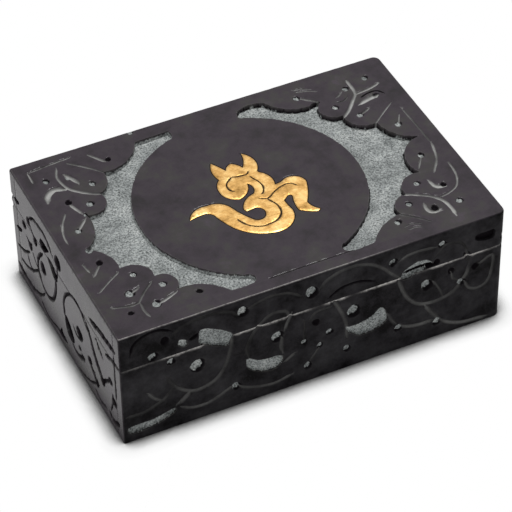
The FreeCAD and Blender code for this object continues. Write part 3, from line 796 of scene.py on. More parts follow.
# Drawing of the long faces: points in millimetres from the left end, seen from outside, and
# up from the table. The back repeats the front, but for the two gouges where its hinges are.
long_marks = [
    Groove(1.5, 0.7, (4.3, 42.5), (5.7, 46.5), (9.4, 49), (15, 49.5), (19.7, 47.5)),
    Groove(1.6, 0.7, (19.8, 44.5), (24, 47.3), (29.2, 48.5), (36.8, 48.5), (42.6, 46.5),
           (45.5, 44), dust_and_highlight=0.08),
    Groove(2.0, 0.7, (17.5, 25.5), (20.9, 19.5), (25.7, 15.5), (30.4, 14.5), (36.2, 16.5),
           (40, 21.5), (42.3, 29.5), (42.7, 34.5), dust_and_highlight=0.22),
    Groove(1.7, 0.7, (1.6, 12.5), (8.6, 12.5), (16.1, 15.5), (19.9, 19.5), dust_and_highlight=0.22),
    Groove(1.7, 0.5, (10.3, 20.8), (12.4, 17.6), (15.2, 15.2), dust_and_highlight=0.25),
    Groove(2.6, 0.6, (20.8, 10.6), (23.5, 12.2), (26.4, 15.2), dust_and_highlight=0.22),
    Groove(1.6, 0.7, (22.5, 8.8), (26, 6.8), (30, 6.0), (34, 6.4), (38, 8), (42.6, 10.4),
           dust_and_highlight=0.34),
    Groove(1.6, 0.7, (49.2, 21.5), (48.6, 26.5), (50.5, 31.5), (54.3, 36.5), (59.1, 39.1),
           (64, 38), (65.6, 34.5), dust_and_highlight=0.16),
    Groove(1.9, 0.6, (62.6, 18.5), (62, 22), (62.4, 26), dust_and_highlight=0.22),
    Groove(1.6, 0.7, (63.3, 29), (64.8, 33), (66.4, 36.6), dust_and_highlight=0.28),
    Groove(1.6, 0.5, (63.2, 13.6), (65.3, 14.8), (67.6, 16.4), dust_and_highlight=0.22),
    Groove(1.6, 0.7, (45, 9.4), (47.5, 7.6), (51, 6.1), (55, 5), (60, 4.6), (66, 6), dust_and_highlight=0.26),
    Groove(1.4, 0.7, (49.3, 45.3), (54.1, 47.1), (60, 47.6), (65.8, 46), (70.8, 42.5),
           dust_and_highlight=0.14),
    Groove(1.8, 0.7, (77.5, 43.6), (80, 46.2), (85, 48.3), (91.5, 48.7), (98, 46.6),
           (103, 42.6), (106.4, 38.6), (109.5, 35.6), dust_and_highlight=0.28),
    Groove(1.5, 0.6, (109.2, 43.8), (112, 45.2), (117, 45.6), (123.6, 44.7), dust_and_highlight=0.28),
    Groove(1.4, 0.7, (73, 29), (75.9, 32.5), (81.9, 33), dust_and_highlight=0.14),
    Groove(1.2, 0.7, (77.1, 14.5), (73.4, 9.5), dust_and_highlight=0.2),
    Groove(1.2, 0.6, (71.2, 30.5), (71.4, 26), (70.9, 21.5), dust_and_highlight=0.14),
    Groove(1.9, 0.7, (82.8, 35.5), (86, 28.5), (88.1, 21.5), (88.3, 14.5), dust_and_highlight=0.24),
    Groove(1.4, 0.7, (81, 37.7), (86, 40.4), (92.7, 40.7), (98.5, 38.6)),
    Groove(1.8, 0.6, (104.6, 20.2), (106.4, 16.2), (108.4, 13.2), dust_and_highlight=0.28),
    Groove(2.0, 0.7, (108.9, 34.5), (112.2, 25.5), (117.5, 19.5), (124.8, 18), (131.9, 20),
           (136.9, 26.5), (137.8, 31), dust_and_highlight=0.28),
    Groove(1.4, 0.7, (137.6, 32.5), (136.6, 38), (134.2, 42.5), (128.6, 44.3), (124, 40.5),
           dust_and_highlight=0.16),
    Groove(1.6, 0.7, (136.4, 23), (138.4, 19), (141.8, 17.5), (145.5, 18.8), (147.4, 23.5),
           (147.6, 31.5), (142, 29.5), dust_and_highlight=0.22),
    Groove(1.2, 0.6, (130.6, 29.6), (131.5, 26.4), (133.8, 24.6), dust_and_highlight=0.3),
    Groove(1.2, 0.5, (123, 28.6), (125.4, 24.6), (127.8, 18.8), dust_and_highlight=0.2),
    Groove(2.1, 0.7, (120.2, 17.5), (124, 11.5), (128.2, 6.5), (135.6, 2.7), (146.1, 1.6),
           dust_and_highlight=0.34),
    Groove(2.0, 0.7, (109.8, 11.8), (113, 10.1), (117.9, 8.9), (124, 8.9), dust_and_highlight=0.34),
    Pit(17.4, 43.6, 1.9), Pit(12.7, 37.7, 2.1, bare=0.9), Pit(19.5, 32.6, 1.7, bare=0.9),
    Pit(47.4, 45, 2.4, bare=0.9), Pit(74.3, 43.1, 2.8, 1.5, bare=0.9),
    Pit(29.5, 26.4, 3.1, 1.4, bare=1.0), Pit(60.6, 27.2, 2.6, 1.5, bare=0.9),
    Pit(91, 27, 3.0, 1.6, bare=0.9), Pit(75.9, 27.8, 1.7), Pit(71.3, 19.9, 1.4, bare=0.9),
    Pit(81.4, 20.9, 1.6, bare=0.9), Pit(77.5, 15.8, 1.4, bare=0.9), Pit(72.7, 7.6, 1.8, bare=0.9),
    Pit(88.5, 9.5, 1.7, bare=0.9), Pit(44.2, 9.7, 1.9, bare=0.9), Pit(106.6, 44.2, 1.9, bare=0.6),
    Pit(126.5, 45, 1.8, bare=0.9), Pit(120.7, 27.6, 2.6, 1.5, bare=0.8), Pit(130.5, 30.6, 1.6),
    Pit(140.5, 29, 1.8), Pit(134.9, 23.3, 1.9, bare=0.8), Pit(124.4, 37.2, 1.6),
    Pit(136.6, 36.4, 1.5), Pit(109.6, 10.9, 1.9, bare=0.9), Pit(125.6, 7.3, 1.9, bare=0.9),
    Gouge(((22.3, 40.1), (23.1, 41.7), (25.3, 40.7), (26, 38), (24.1, 37.6), (22.6, 38.5)), 0.9),
    Gouge(((26.2, 40.2), (28, 41.6), (30.2, 42.2), (29.8, 40.6), (27.6, 39.4)), 0.8, bare=0.0),
    Gouge(((48.1, 21.2), (49.4, 21.2), (52, 19.4), (55.4, 18.2), (60.6, 17.9), (62.9, 16.2),
           (60.6, 12.2), (56, 12), (51.2, 14.2), (48.5, 17.4)), 1.3, black=-0.6),
    Gouge(((89.1, 17), (88.3, 19.8), (93.5, 20.1), (98.4, 21.6), (101.5, 24.2), (103.6, 22.8),
           (104.8, 18.9), (104.2, 16.6), (99.3, 14), (93.6, 13.9)), 1.3, black=-0.5),
    Gouge(((1.9, 7), (4.8, 7.5), (10.3, 7.5), (15, 8.4), (20, 9.5), (20.1, 7.3), (15.6, 5.2),
           (9.3, 3.7), (3.9, 3.6), (1.7, 5)), 1.2, black=-0.6),
    Gouge(((139.7, 42), (140.4, 44), (144.1, 44.3), (147.7, 44.1), (147.8, 40.6), (144.5, 40),
           (141, 41)), 1.4, bare=0.0),
]
front_marks = long_marks + [
    Gouge(((30.2, 38.6), (31.1, 43.1), (36.1, 41.5), (42.9, 36.6), (42.6, 33), (40.6, 31.1),
           (34.3, 34.2), (30.5, 36.3)), 1.3, black=-0.3),
    Gouge(((109.8, 35.4), (110.4, 37.6), (112.8, 39.4), (116.4, 40.6), (119.8, 40.2), (122.6, 38),
           (121.8, 36.1), (115.6, 35.2), (113.6, 34), (111, 34)), 1.3, black=-0.3),
    # This deep groove along the seam renders as a black band standing in for the shadow under the
    # lid's edge: painted shade.
    Groove(2.0, 2.2, (111, 36.1), (117, 36.7), (124.4, 36.5)),
]
# Drawing of the short faces, from the rear end of the left face
short_marks = [
    Groove(2.0, 1.0, (29.7, 32.6), (25.2, 27.5), (24, 20.1), (28.3, 14.8), (33.5, 13.9),
           (37.8, 17), (41.1, 23.9), (42.4, 30.4)),
    Groove(1.8, 0.9, (48.9, 18.3), (49, 25), (52.2, 31.2), (58.7, 35.6), (65.3, 35.4),
           (70.2, 33.8)),
    Groove(2.4, 1.2, (70.2, 33.8), (73.6, 30), (77.9, 23.1), (81, 18.6), (84.3, 15.6),
           end_width=3.0),
    Groove(1.7, 0.8, (17.9, 40.5), (23.2, 43.8), (31.7, 45), (36.8, 43.6), (39.8, 40.9)),
    Groove(1.6, 0.8, (3, 16), (10.1, 18), (15.3, 21.9)),
    Groove(1.6, 0.8, (5.6, 10.8), (11.7, 11.6), (17.9, 14.6), (23.6, 19.4)),
    Groove(1.4, 0.8, (13.2, 18.6), (14.8, 15.6), (17.4, 13.6)),
    Groove(1.6, 0.8, (24, 4.6), (31.7, 2.2), (38.6, 3.6), (43, 5)),
    Groove(1.4, 0.7, (22.8, 7.2), (26, 9), (28.6, 11.8)),
    Groove(2.0, 1.0, (71.7, 15.6), (78.1, 9.6), end_width=3.0),
    Groove(1.4, 0.8, (77.8, 24.2), (81, 20.6), (84.6, 16.4)),
    Groove(1.8, 0.9, (84, 16), (91.4, 22.5)),
    Groove(1.6, 0.8, (60.8, 1.6), (66, 2.2), (71.8, 4.6), (76.6, 8.2)),
    Groove(1.8, 0.9, (76, 4.6), (81, 3), (86.4, 4.2)),
    Groove(2.6, 1.2, (89, 5.4), (91.6, 3.8), (95, 4), (98, 7)),
    Groove(1.4, 0.7, (96.5, 18.1), (96.5, 39)),
    Groove(2.2, 1.1, (80.6, 32.6), (84.9, 29)),
    Groove(1.4, 0.8, (90.6, 7.4), (92.6, 12.4), (93.4, 17.8)),
    Groove(3.2, 1.4, (1.8, 5.6), (7.4, 4.0), (14.5, 3.9), (20, 5.2), (24.6, 7.6), end_width=2.2),
    Groove(2.8, 1.4, (75.1, 38.6), (85.9, 40.7), (98, 42)),
    Groove(2.0, 1.0, (88.6, 33.2), (94.5, 35.4), (101.2, 36.3)),
    Groove(1.6, 0.9, (54.6, 9.8), (58.6, 8.2), (62.6, 8.8), (65.8, 10.8), end_width=2.6),
    Groove(1.6, 0.8, (17, 38.4), (20.4, 35.6), (23.2, 33.6)),
    Groove(1.3, 0.7, (19.2, 24.6), (21.4, 21.8), (23.4, 20.6)),
    Groove(1.3, 0.7, (13.6, 28.4), (16.4, 27.4), (19.2, 28.6)),
    Groove(1.3, 0.7, (44.8, 38.4), (44.4, 34.6), (43.2, 31.6)),
    Groove(1.3, 0.7, (66.8, 34.4), (70.4, 31.2), (73.8, 30)),
    Groove(1.3, 0.7, (57.6, 20), (60.6, 18.2), (64.4, 18.6)),
    Pit(16.8, 38.4, 1.9), Pit(11.9, 32.8, 2.0), Pit(23, 33.3, 2.0), Pit(17.3, 26.3, 1.9),
    Pit(29.3, 25.2, 2.8, 1.5), Pit(45.6, 41.2, 3.2, 1.5), Pit(63.4, 21.3, 3.0, 1.4),
    Pit(72.2, 15.8, 2.0), Pit(78.1, 9.6, 2.0), Pit(84.2, 15.9, 2.1), Pit(91.8, 22.8, 1.8),
    Pit(94.4, 14.4, 2.2), Pit(65.2, 10.8, 1.8), Pit(62.6, 13.6, 1.3), Pit(0.7, 38.6, 1.3, 0.8),
    Pit(0.5, 34.2, 1.1, 0.6),
    Gouge(((2.4, 39.2), (4.6, 40.4), (8, 40.8), (7.8, 39.2), (4.8, 38)), 1.2, bare=0.0),
    Gouge(((2.6, 25.4), (5, 27), (8.8, 28), (8, 26), (5.4, 24.6)), 1.2, bare=0.0),
    Gouge(((40.6, 3.4), (42.6, 5.4), (44.6, 8.4), (45.8, 6.6), (49.9, 5), (46.4, 3.2)), 1.3,
          bare=0.0),
    Gouge(((27.2, 36.9), (29.2, 39.9), (33.4, 40.4), (37.2, 39.9), (35.2, 37.8), (32.2, 35.4),
           (29.4, 35.2)), 1.4, bare=0.0),
    Gouge(((34.6, 35.6), (38, 36.6), (42, 35), (44.2, 31.4), (41.6, 29), (38.6, 30.8),
           (36.6, 33.4)), 1.4, bare=0.25, black=0.9),
    Gouge(((49.2, 19.4), (52.2, 19.2), (56.2, 15.4), (57.4, 12), (54.6, 9.6), (51, 10.8),
           (49.2, 14.4)), 1.4, bare=0.0),
]
# The ends of the front and back slabs show on the short faces, one at each end.
sharp_turn = ARRIS * (2 - math.sqrt(2))
ground_turn = GROUND_CORNER * (2 - math.pi / 2)
front_ends = moved(short_marks, sharp_turn - WIDTH) + moved(short_marks, LENGTH - ground_turn)
back_ends = moved(short_marks, ground_turn - WIDTH) + moved(short_marks, LENGTH - sharp_turn)


# Black dye and a waxed coat over the stone: near black with a purple cast, rubbed thin and grey
# on the edges, and gone from the floors of the broad cuts. Painted shade: the long faces take a
# darker dye than the ends and the top, and the cuts are painted near black by their depth.
# Painted highlight: along the lid's front top edge, and on the lower side of each stroke.
dyed_stone = bpy.data.materials.new("black_waxed_soapstone")
dyed_stone.use_nodes = True
tree = dyed_stone.node_tree
shader = tree.nodes["Principled BSDF"]
shader.inputs["Specular IOR Level"].default_value = 0.02
shader.inputs["Coat Roughness"].default_value = 0.22
shader.inputs["Coat IOR"].default_value = 1.26
raw_look = tree.nodes.new("ShaderNodeGroup")
raw_look.node_tree = raw_stone
bare_mask = tree.nodes.new("ShaderNodeAttribute")
bare_mask.attribute_name = "bare"
wear_and_highlight_mask = tree.nodes.new("ShaderNodeAttribute")
wear_and_highlight_mask.attribute_name = "wear_and_highlight"
cloud = noise_node(tree, 60.0, 6.0, 0.72)
speck = noise_node(tree, 2200.0, 2.0, 0.6)
wax_and_painted_shade_mask = tree.nodes.new("ShaderNodeAttribute")
wax_and_painted_shade_mask.attribute_name = "wax_and_painted_shade"
# On the long faces this layer picks a darker dye, down to near black: painted shade on the front and
# back.
dye_cloud = mix_node(
    tree, wax_and_painted_shade_mask.outputs["Fac"],
    ramp_node(tree, cloud.outputs["Fac"],
              [(0.38, (0.001, 0.001, 0.001)), (0.68, (0.034, 0.033, 0.036))]),
    ramp_node(tree, cloud.outputs["Fac"],
              [(0.3, (0.013, 0.011, 0.012)), (0.5, (0.034, 0.026, 0.034)),
               (0.6, (0.038, 0.035, 0.034)), (0.74, (0.060, 0.045, 0.062))]),
)
dye_colour = mix_node(
    tree, math_node(tree, "MULTIPLY_ADD", speck.outputs["Fac"], 2.5, -1.45, clamp=True),
    dye_cloud, (0.04, 0.036, 0.04),
)
patchy = noise_node(tree, 700.0, 3.0, 0.7)
# Pale rubbed edges, and along the lid's front top edge a painted highlight.
rubbing_and_highlight = math_node(
    tree, "MULTIPLY", math_node(tree, "POWER", wear_and_highlight_mask.outputs["Fac"], 1.8),
    math_node(tree, "MULTIPLY_ADD", patchy.outputs["Fac"], 2.4, -0.5, clamp=True),
)
# Pale dust in the strokes, heavier on their lower sides as a painted highlight.
dust_and_highlight_mask = tree.nodes.new("ShaderNodeAttribute")
dust_and_highlight_mask.attribute_name = "dust_and_highlight"
dust_and_highlight_amount = math_node(
    tree, "MULTIPLY", dust_and_highlight_mask.outputs["Fac"],
    math_node(tree, "MULTIPLY_ADD", patchy.outputs["Fac"], 0.9, 0.5, clamp=True),
)
# Every cut is painted near black by its depth: painted shade in the recesses.
cut_mask = tree.nodes.new("ShaderNodeAttribute")
cut_mask.attribute_name = "cut"
dye_with_painted_recess_shade = mix_node(
    tree, math_node(tree, "MULTIPLY", cut_mask.outputs["Fac"], 0.95), dye_colour,
    (0.004, 0.003, 0.004),
)
dust_and_highlight_colour = mix_node(tree, dust_and_highlight_amount, dye_with_painted_recess_shade, (0.38, 0.38, 0.37))
wear_and_highlight_colour = mix_node(tree, rubbing_and_highlight, dust_and_highlight_colour, (0.55, 0.53, 0.51))
ragged = math_node(
    tree, "MULTIPLY_ADD", patchy.outputs["Fac"], 0.9, bare_mask.outputs["Fac"]
)
bareness = math_node(tree, "MULTIPLY_ADD", ragged, 4.0, -3.2, clamp=True)
stone_colour = mix_node(tree, bareness, wear_and_highlight_colour, raw_look.outputs["Color"])
tree.links.new(stone_colour, shader.inputs["Base Color"])
smears = noise_node(tree, 35.0, 3.0, 0.6)
roughness = math_node(tree, "MULTIPLY_ADD", smears.outputs["Fac"], 0.3, 0.45)
tree.links.new(roughness, shader.inputs["Roughness"])
unwaxed = math_node(tree, "MAXIMUM", cut_mask.outputs["Fac"], bareness)
wax_film = math_node(tree, "MULTIPLY_ADD", smears.outputs["Fac"], 0.5, 0.6, clamp=True)
wax_film = math_node(tree, "MULTIPLY", wax_film, wax_and_painted_shade_mask.outputs["Fac"])
wax_and_painted_shade = math_node(tree, "MULTIPLY", math_node(tree, "SUBTRACT", 1.0, unwaxed), wax_film)
tree.links.new(wax_and_painted_shade, shader.inputs["Coat Weight"])
stone_bump = tree.nodes.new("ShaderNodeBump")
stone_bump.inputs["Strength"].default_value = 0.3
stone_bump.inputs["Distance"].default_value = 0.12 * MM
rough_stone = math_node(tree, "MULTIPLY", raw_look.outputs["Height"], bareness)
stone_height = math_node(tree, "MULTIPLY_ADD", speck.outputs["Fac"], 0.15, rough_stone)
tree.links.new(stone_height, stone_bump.inputs["Height"])
tree.links.new(stone_bump.outputs["Normal"], shader.inputs["Normal"])

base_front = side_slab("base_front_wall", "base", "front", 0.0, SEAM,
                       front_marks + front_ends)
base_left = side_slab("base_left_wall", "base", "left", 0.0, SEAM, short_marks)
base_right = side_slab("base_right_wall", "base", "right", 0.0, SEAM, short_marks)
base_back = side_slab("base_back_wall", "base", "back", 0.0, SEAM, long_marks + back_ends)


# Rims and panel of the lid
# The lid is made like the base, upside down: four rims with a panel let in between them. Its
# drawing runs over the joints. On the panel two crescents are sunk round a plain disc.

DISC_X, DISC_Y, DISC_RADIUS = 73.6, 49.6, 43.2


def crescent_depth(points):
    """The crescents are cut deeper towards their scalloped outer sides."""
    out = np.hypot(points[:, 0] - DISC_X, points[:, 1] - DISC_Y) - DISC_RADIUS
    return 0.84 + 0.2 * np.clip(out / 10.0, 0, 1)


LEFT_CRESCENT = (
    (60.4, 90.6), ((61.8, 93.0), (61.0, 95.4)), (47.5, 95.0),
    ((40.6, 86.4), (30.2, 84.3)), ((29.9, 79.0), (24.7, 74.0)), ((24.2, 66.9), (15.4, 65.1)),
    ((15.4, 56.6), (8.2, 47.8)), ((13.8, 42.4), (15.2, 33.4)), ((22.8, 31.6), (24.6, 24.6)),
    ((30.4, 21.8), (28.8, 15.0)), ((38.2, 13.4), (45.6, 5.9)), ((50.2, 5.7), (54.6, 6.0)),
    ((56.2, 8.4), (53.6, 11.1)), ((DISC_X - DISC_RADIUS, DISC_Y), (60.4, 90.6)),
)
RIGHT_CRESCENT = (
    (88.6, 90.2), ((88.9, 93.6), (91.0, 95.0)), ((96.2, 95.8), (100.6, 94.6)),
    ((105.6, 88.2), (115.4, 85.2)), ((117.9, 86.2), (120.3, 85.6)),
    ((117.4, 79.4), (123.9, 74.8)), ((126.2, 67.6), (133.6, 65.4)),
    ((136.0, 57.8), (144.0, 51.4)), ((134.2, 44.4), (134.6, 32.8)),
    ((126.2, 31.0), (124.2, 24.4)), ((118.4, 21.8), (117.6, 15.6)),
    ((109.6, 13.2), (102.4, 6.2)), ((97.4, 5.7), (92.6, 6.0)), ((90.4, 8.2), (92.2, 10.6)),
    ((DISC_X + DISC_RADIUS, DISC_Y), (88.6, 90.2)),
)
OM_OUTLINE = (
    # top of the tail, and the lower bowl from inside
    (48.0, 45.7), ((51.0, 49.4), (56.5, 50.3)), ((61.5, 49.2), (64.3, 45.3)),
    ((66.4, 40.3), (68.8, 36.3)), ((71.8, 35.1), (74.2, 37.3)), ((74.1, 40.3), (71.9, 41.8)),
    (68.4, 41.4), (67.9, 42.6),
    # lip of the lower bowl, and the upper bowl from inside
    ((69.8, 46.2), (74.7, 49.0)), ((76.2, 51.6), (75.0, 55.2)), ((73.2, 51.0), (69.2, 48.5)),
    ((65.6, 50.5), (64.0, 55.0)), ((64.7, 58.8), (66.7, 61.4)),
    # left horn, the point between the horns, right horn
    ((66.1, 66.2), (67.8, 71.1)), ((69.3, 68.6), (71.1, 65.0)), ((72.5, 67.0), (74.3, 67.9)),
    ((76.0, 66.4), (77.4, 63.9)), ((79.3, 67.2), (80.2, 71.4)), ((83.0, 66.6), (81.4, 60.1)),
    # back of the bowls
    (81.6, 59.1), ((84.1, 55.6), (83.9, 50.3)),
    # the arm on the right, out, down to its foot and back up inside
    ((86.1, 50.5), (88.3, 51.5)), ((93.2, 50.8), (95.0, 47.0)), ((93.4, 42.4), (90.3, 36.6)),
    ((90.7, 34.2), (92.8, 31.3)), ((92.3, 30.5), (91.2, 30.3)), ((88.4, 31.7), (85.7, 33.8)),
    ((85.9, 37.6), (86.9, 41.4)), ((86.3, 42.8), (85.0, 42.4)), (83.1, 40.9),
    # underside of the lower bowl and of the tail
    ((83.2, 38.0), (83.6, 35.0)), ((81.6, 29.7), (74.7, 26.4)), ((66.0, 29.4), (60.4, 35.3)),
    ((58.6, 39.4), (57.2, 43.6)), ((55.8, 46.0), (53.3, 46.7)), ((50.6, 46.4), (48.0, 45.7)),
)
om_line = outline_line(OM_OUTLINE, 0.4)
OM_THICKNESS = 1.5

# Drawing of the top, from the front left corner of the box
top_marks = [
    # border lines and leaf stems on the left
    Groove(0.9, 0.4, (5.4, 95.9), (14.1, 96.9), (22.7, 97.5), dust_and_highlight=0.8),
    Groove(0.9, 0.4, (5.1, 96), (4.9, 89.7), dust_and_highlight=0.8),
    Groove(1.1, 0.5, (15.6, 93.4), (14, 89.3), (14.2, 85.3), (15.5, 81.2), (18.2, 78.2),
           (21.4, 75.6), (25.2, 73.4), end_width=1.8, dust_and_highlight=0.9),
    Groove(1.0, 0.5, (20.3, 94.8), (25.9, 89.6), (30.6, 84.2), dust_and_highlight=0.8),
    Groove(1.0, 0.5, (28.9, 96.2), (31.4, 92.6), (33.6, 89.3), end_width=1.6, dust_and_highlight=0.8),
    Groove(2.0, 0.8, (16.9, 89.4), (18.7, 86.1), (20, 82.5), dust_and_highlight=0.9),
    Groove(2.8, 0.9, (5.6, 77.0), (7.2, 80.8), (10.7, 83), (14.5, 81.3), dust_and_highlight=1.6),
    Groove(1.5, 0.5, (12.3, 73.4), (14.7, 66.2), dust_and_highlight=0.9),
    Groove(1.3, 0.5, (10.2, 58.8), (14.4, 63.1), dust_and_highlight=0.9),
    Groove(1.2, 0.5, (9.7, 38.6), (5.2, 33.4), dust_and_highlight=0.7),
    Groove(1.8, 0.5, (14, 20.3), (17.3, 21.7), dust_and_highlight=0.9),
    Groove(2.0, 0.6, (20.7, 11.2), (23.2, 11.9), (28.6, 13.9), end_width=0.8, dust_and_highlight=1.0),
    Groove(1.0, 0.45, (9, 68.8), (5.7, 63.5), (4, 58.2), (3.7, 53.6), dust_and_highlight=0.8),
    Groove(1.0, 0.45, (4.2, 41), (4.9, 36.3), dust_and_highlight=0.8),
    Groove(0.9, 0.45, (14.1, 32.1), (8.8, 28.7), (3.8, 25), dust_and_highlight=0.8),
    Groove(1.1, 0.5, (4.5, 16.1), (9.8, 14.5), (14, 14.5), (16.4, 16.9), (19.4, 19.8),
           (22.4, 22.2), dust_and_highlight=0.8),
    Groove(1.3, 0.45, (14.6, 14.2), (14.3, 10), (15, 6.4), dust_and_highlight=0.7),
    # the same on the right
    Groove(0.8, 0.3, (113.6, 96.4), (117, 95.7), (119.8, 94.2), dust_and_highlight=0.8),
    Groove(0.8, 0.3, (114.8, 94.5), (118.2, 93.8), (121.6, 91.8), dust_and_highlight=0.8),
    Groove(1.2, 0.5, (114, 90.7), (116.8, 88.4), (119.4, 85.9), dust_and_highlight=0.7),
    Groove(1.3, 0.5, (130.6, 72.3), (134.8, 74.2), dust_and_highlight=0.8),
    Groove(0.9, 0.5, (140.4, 60.9), (143.1, 65.6), dust_and_highlight=0.8),
    Groove(0.9, 0.5, (139.5, 41.4), (137.3, 38.1), (135, 34.8), dust_and_highlight=0.8),
    Groove(1.6, 0.6, (123.9, 73.4), (127.7, 76.7), (131.1, 80.6), (134.3, 85.2), (134.7, 93.1),
           dust_and_highlight=1.0),
    Groove(1.2, 0.5, (133.6, 83.9), (140.3, 84.7), (145, 86.1), end_width=1.6, dust_and_highlight=1.0),
    Groove(1.3, 0.5, (126.6, 85.2), (129.4, 86.9), dust_and_highlight=0.8),
    Groove(0.9, 0.4, (125.4, 82.6), (128, 82.2), (130.4, 83.6), dust_and_highlight=0.5),
    Groove(1.4, 0.6, (132.6, 77.6), (137.1, 79.2), (141.4, 80), end_width=3.6, dust_and_highlight=1.5),
    Groove(0.9, 0.5, (135, 81.2), (138.4, 82.4), (142, 82.3), (144.2, 79.8)),
    Groove(0.9, 0.4, (132.5, 64.8), (137.7, 68.9), (143.6, 73.4), dust_and_highlight=0.8),
    Groove(0.9, 0.4, (145.8, 68), (146.1, 57), (146.2, 47), dust_and_highlight=0.5),
    Groove(1.2, 0.45, (146.2, 46), (145.3, 42.1), (143.4, 36.8), (139, 30.4), dust_and_highlight=1.0),
    Groove(1.3, 0.6, (135.0, 27.6), (136, 23.6), (139.4, 22.0), end_width=2.8, dust_and_highlight=1.4),
    Groove(1.3, 0.6, (122.7, 24.9), (126.7, 22.9), (132.1, 19.1), (134.7, 15.2), (135.4, 10.5),
           (135.1, 6.6), end_width=1.8, dust_and_highlight=1.2),
    Groove(1.0, 0.5, (134.7, 17.5), (138.6, 18.3), (142.4, 20.1), (144.7, 23.2), (146.1, 27.5),
           (146.6, 33.5), dust_and_highlight=0.8),
    Groove(1.6, 0.7, (127.6, 17.2), (127.1, 13.8), (128.3, 11.6), (131, 11), end_width=2.0,
           dust_and_highlight=1.5),
    Groove(0.9, 0.35, (116.7, 15.6), (121, 12), (125.6, 7), dust_and_highlight=0.5),
    Groove(0.7, 0.3, (115.4, 8.6), (118.4, 9), (121.6, 7.9), dust_and_highlight=0.5),
    Groove(0.7, 0.3, (116.4, 6.7), (118.8, 7), (121, 6.1), dust_and_highlight=0.5),
    Groove(0.6, 0.25, (60, 5.6), (80, 5.8), (97, 5.7), dust_and_highlight=0.06),
    Pit(17.7, 87.1, 1.4, 0.7, bare=1.0), Pit(34.9, 90.2, 1.2), Pit(9.6, 88.6, 1.4, bare=0.7),
    Pit(24.4, 80.2, 1.4, 0.8, bare=1.0), Pit(12.5, 74.2, 1.4), Pit(19.4, 70.1, 1.6, 0.7, bare=1.0),
    Pit(9.9, 58.3, 1.4, 0.7, bare=1.0), Pit(9.3, 47, 1.6, 0.8, bare=1.0), Pit(9.9, 39.4, 1.4),
    Pit(18.3, 28.6, 1.4, 0.7, bare=1.0), Pit(13.3, 20.1, 2.0, 0.8, bare=1.0),
    Pit(25.7, 19.5, 1.5, 0.7, bare=1.0), Pit(9.7, 10.8, 1.2), Pit(19.7, 11.2, 1.9, 0.8, bare=1.0),
    Pit(35.7, 10.6, 1.3), Pit(15.4, 65.3, 0.9, bare=0.5), Pit(112.9, 91.4, 1.4, 0.8, bare=1.0),
    Pit(123.7, 80.1, 1.4, 0.8, bare=1.0), Pit(132.1, 88.5, 1.4, 0.8, bare=1.0),
    Pit(141.7, 91.2, 1.4, 0.8, bare=1.0), Pit(130.1, 72.1, 1.4, 0.8, bare=1.0),
    Pit(140.4, 60.9, 1.5, 0.8, bare=1.0), Pit(139.5, 41.4, 1.4, bare=0.8),
    Pit(130.6, 27.9, 1.4, 0.7, bare=1.0), Pit(122.7, 19, 1.4, 0.7, bare=1.0),
    Pit(140.1, 12.9, 1.5, 0.8, bare=1.0), Pit(114.5, 12, 1.5, 0.8, bare=0.6),
    Pit(140.6, 79.9, 1.4), Pit(138.9, 23, 1.3), Pit(130, 13.2, 1.5),
    Gouge(by_hand(outline_line(LEFT_CRESCENT)), 1.9, rough=0.16, deepen=crescent_depth,
          black=-0.2),
    Gouge(by_hand(outline_line(RIGHT_CRESCENT)), 1.9, rough=0.16, deepen=crescent_depth,
          black=0.75),
    Groove(0.9, 0.35, *om_line, om_line[0]),
    Gouge(om_line, OM_THICKNESS, bare=0.0, wall=0.12, rough=0.0),
    # a chip out of the rear edge
    Pit(48.4, 100.9, 1.3, 0.6, bare=1.0),
]

lid_front = side_slab("lid_front_rim", "lid", "front", SEAM, TOP,
                      front_marks + front_ends, top_marks)
lid_left = side_slab("lid_left_rim", "lid", "left", SEAM, TOP, short_marks, top_marks)
lid_right = side_slab("lid_right_rim", "lid", "right", SEAM, TOP, short_marks, top_marks)
lid_back = side_slab("lid_back_rim", "lid", "back", SEAM, TOP, long_marks + back_ends, top_marks)

panel_low, panel_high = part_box("lid_top_panel")
left, right = panel_low.x / MM + LENGTH / 2, panel_high.x / MM + LENGTH / 2
front, back = panel_low.y / MM + WIDTH / 2, panel_high.y / MM + WIDTH / 2
across = np.linspace(left, right, int(round((right - left) / EDGE_STEP)) + 1)
along = np.linspace(front, back, int(round((back - front) / EDGE_STEP)) + 1)
panel_border = (
    [(x, front) for x in across] + [(right, y) for y in along[1:]]
    + [(x, back) for x in across[-2::-1]] + [(left, y) for y in along[-2:0:-1]]
)
points, triangles, depth, layers = carved_sheet(panel_border, top_marks, bevel=0.015)
layers["wax_and_painted_shade"] = np.ones(len(points))
vertices = np.column_stack([points - np.array([LENGTH / 2, WIDTH / 2]), TOP - depth])
faces = [tuple(t) for t in triangles]
under = len(vertices)
low_corners = [(x - LENGTH / 2, y - WIDTH / 2, panel_low.z / MM)
               for x, y in ((left, front), (right, front), (right, back), (left, back))]
vertices = np.vstack([vertices, low_corners])
ring = list(range(len(panel_border))) + [0]
corners = [0, len(across) - 1, len(across) + len(along) - 2,
           2 * len(across) + len(along) - 3, len(panel_border)]
hidden_from = len(faces)
for i in range(4):
    edge = ring[corners[i]: corners[i + 1] + 1]
    faces.append((*edge[::-1], under + i, under + (i + 1) % 4))
faces.append((under + 3, under + 2, under + 1, under))
layers = {key: np.append(layer, np.zeros(4)) for key, layer in layers.items()}
panel_mesh = stone_mesh("lid_top_panel", vertices, faces, layers, hidden_from)
lid_panel = finished("lid_top_panel_carved", panel_mesh, [dyed_stone, sawn_stone], "lid",
                     "lid_top_panel")


# Om sign
# Sawn from 1.5 mm sheet brass, let in flush and filed level with the stone, so its face is
# satin with fine file marks. The strokes of the sign are engraved as thin dark lines.

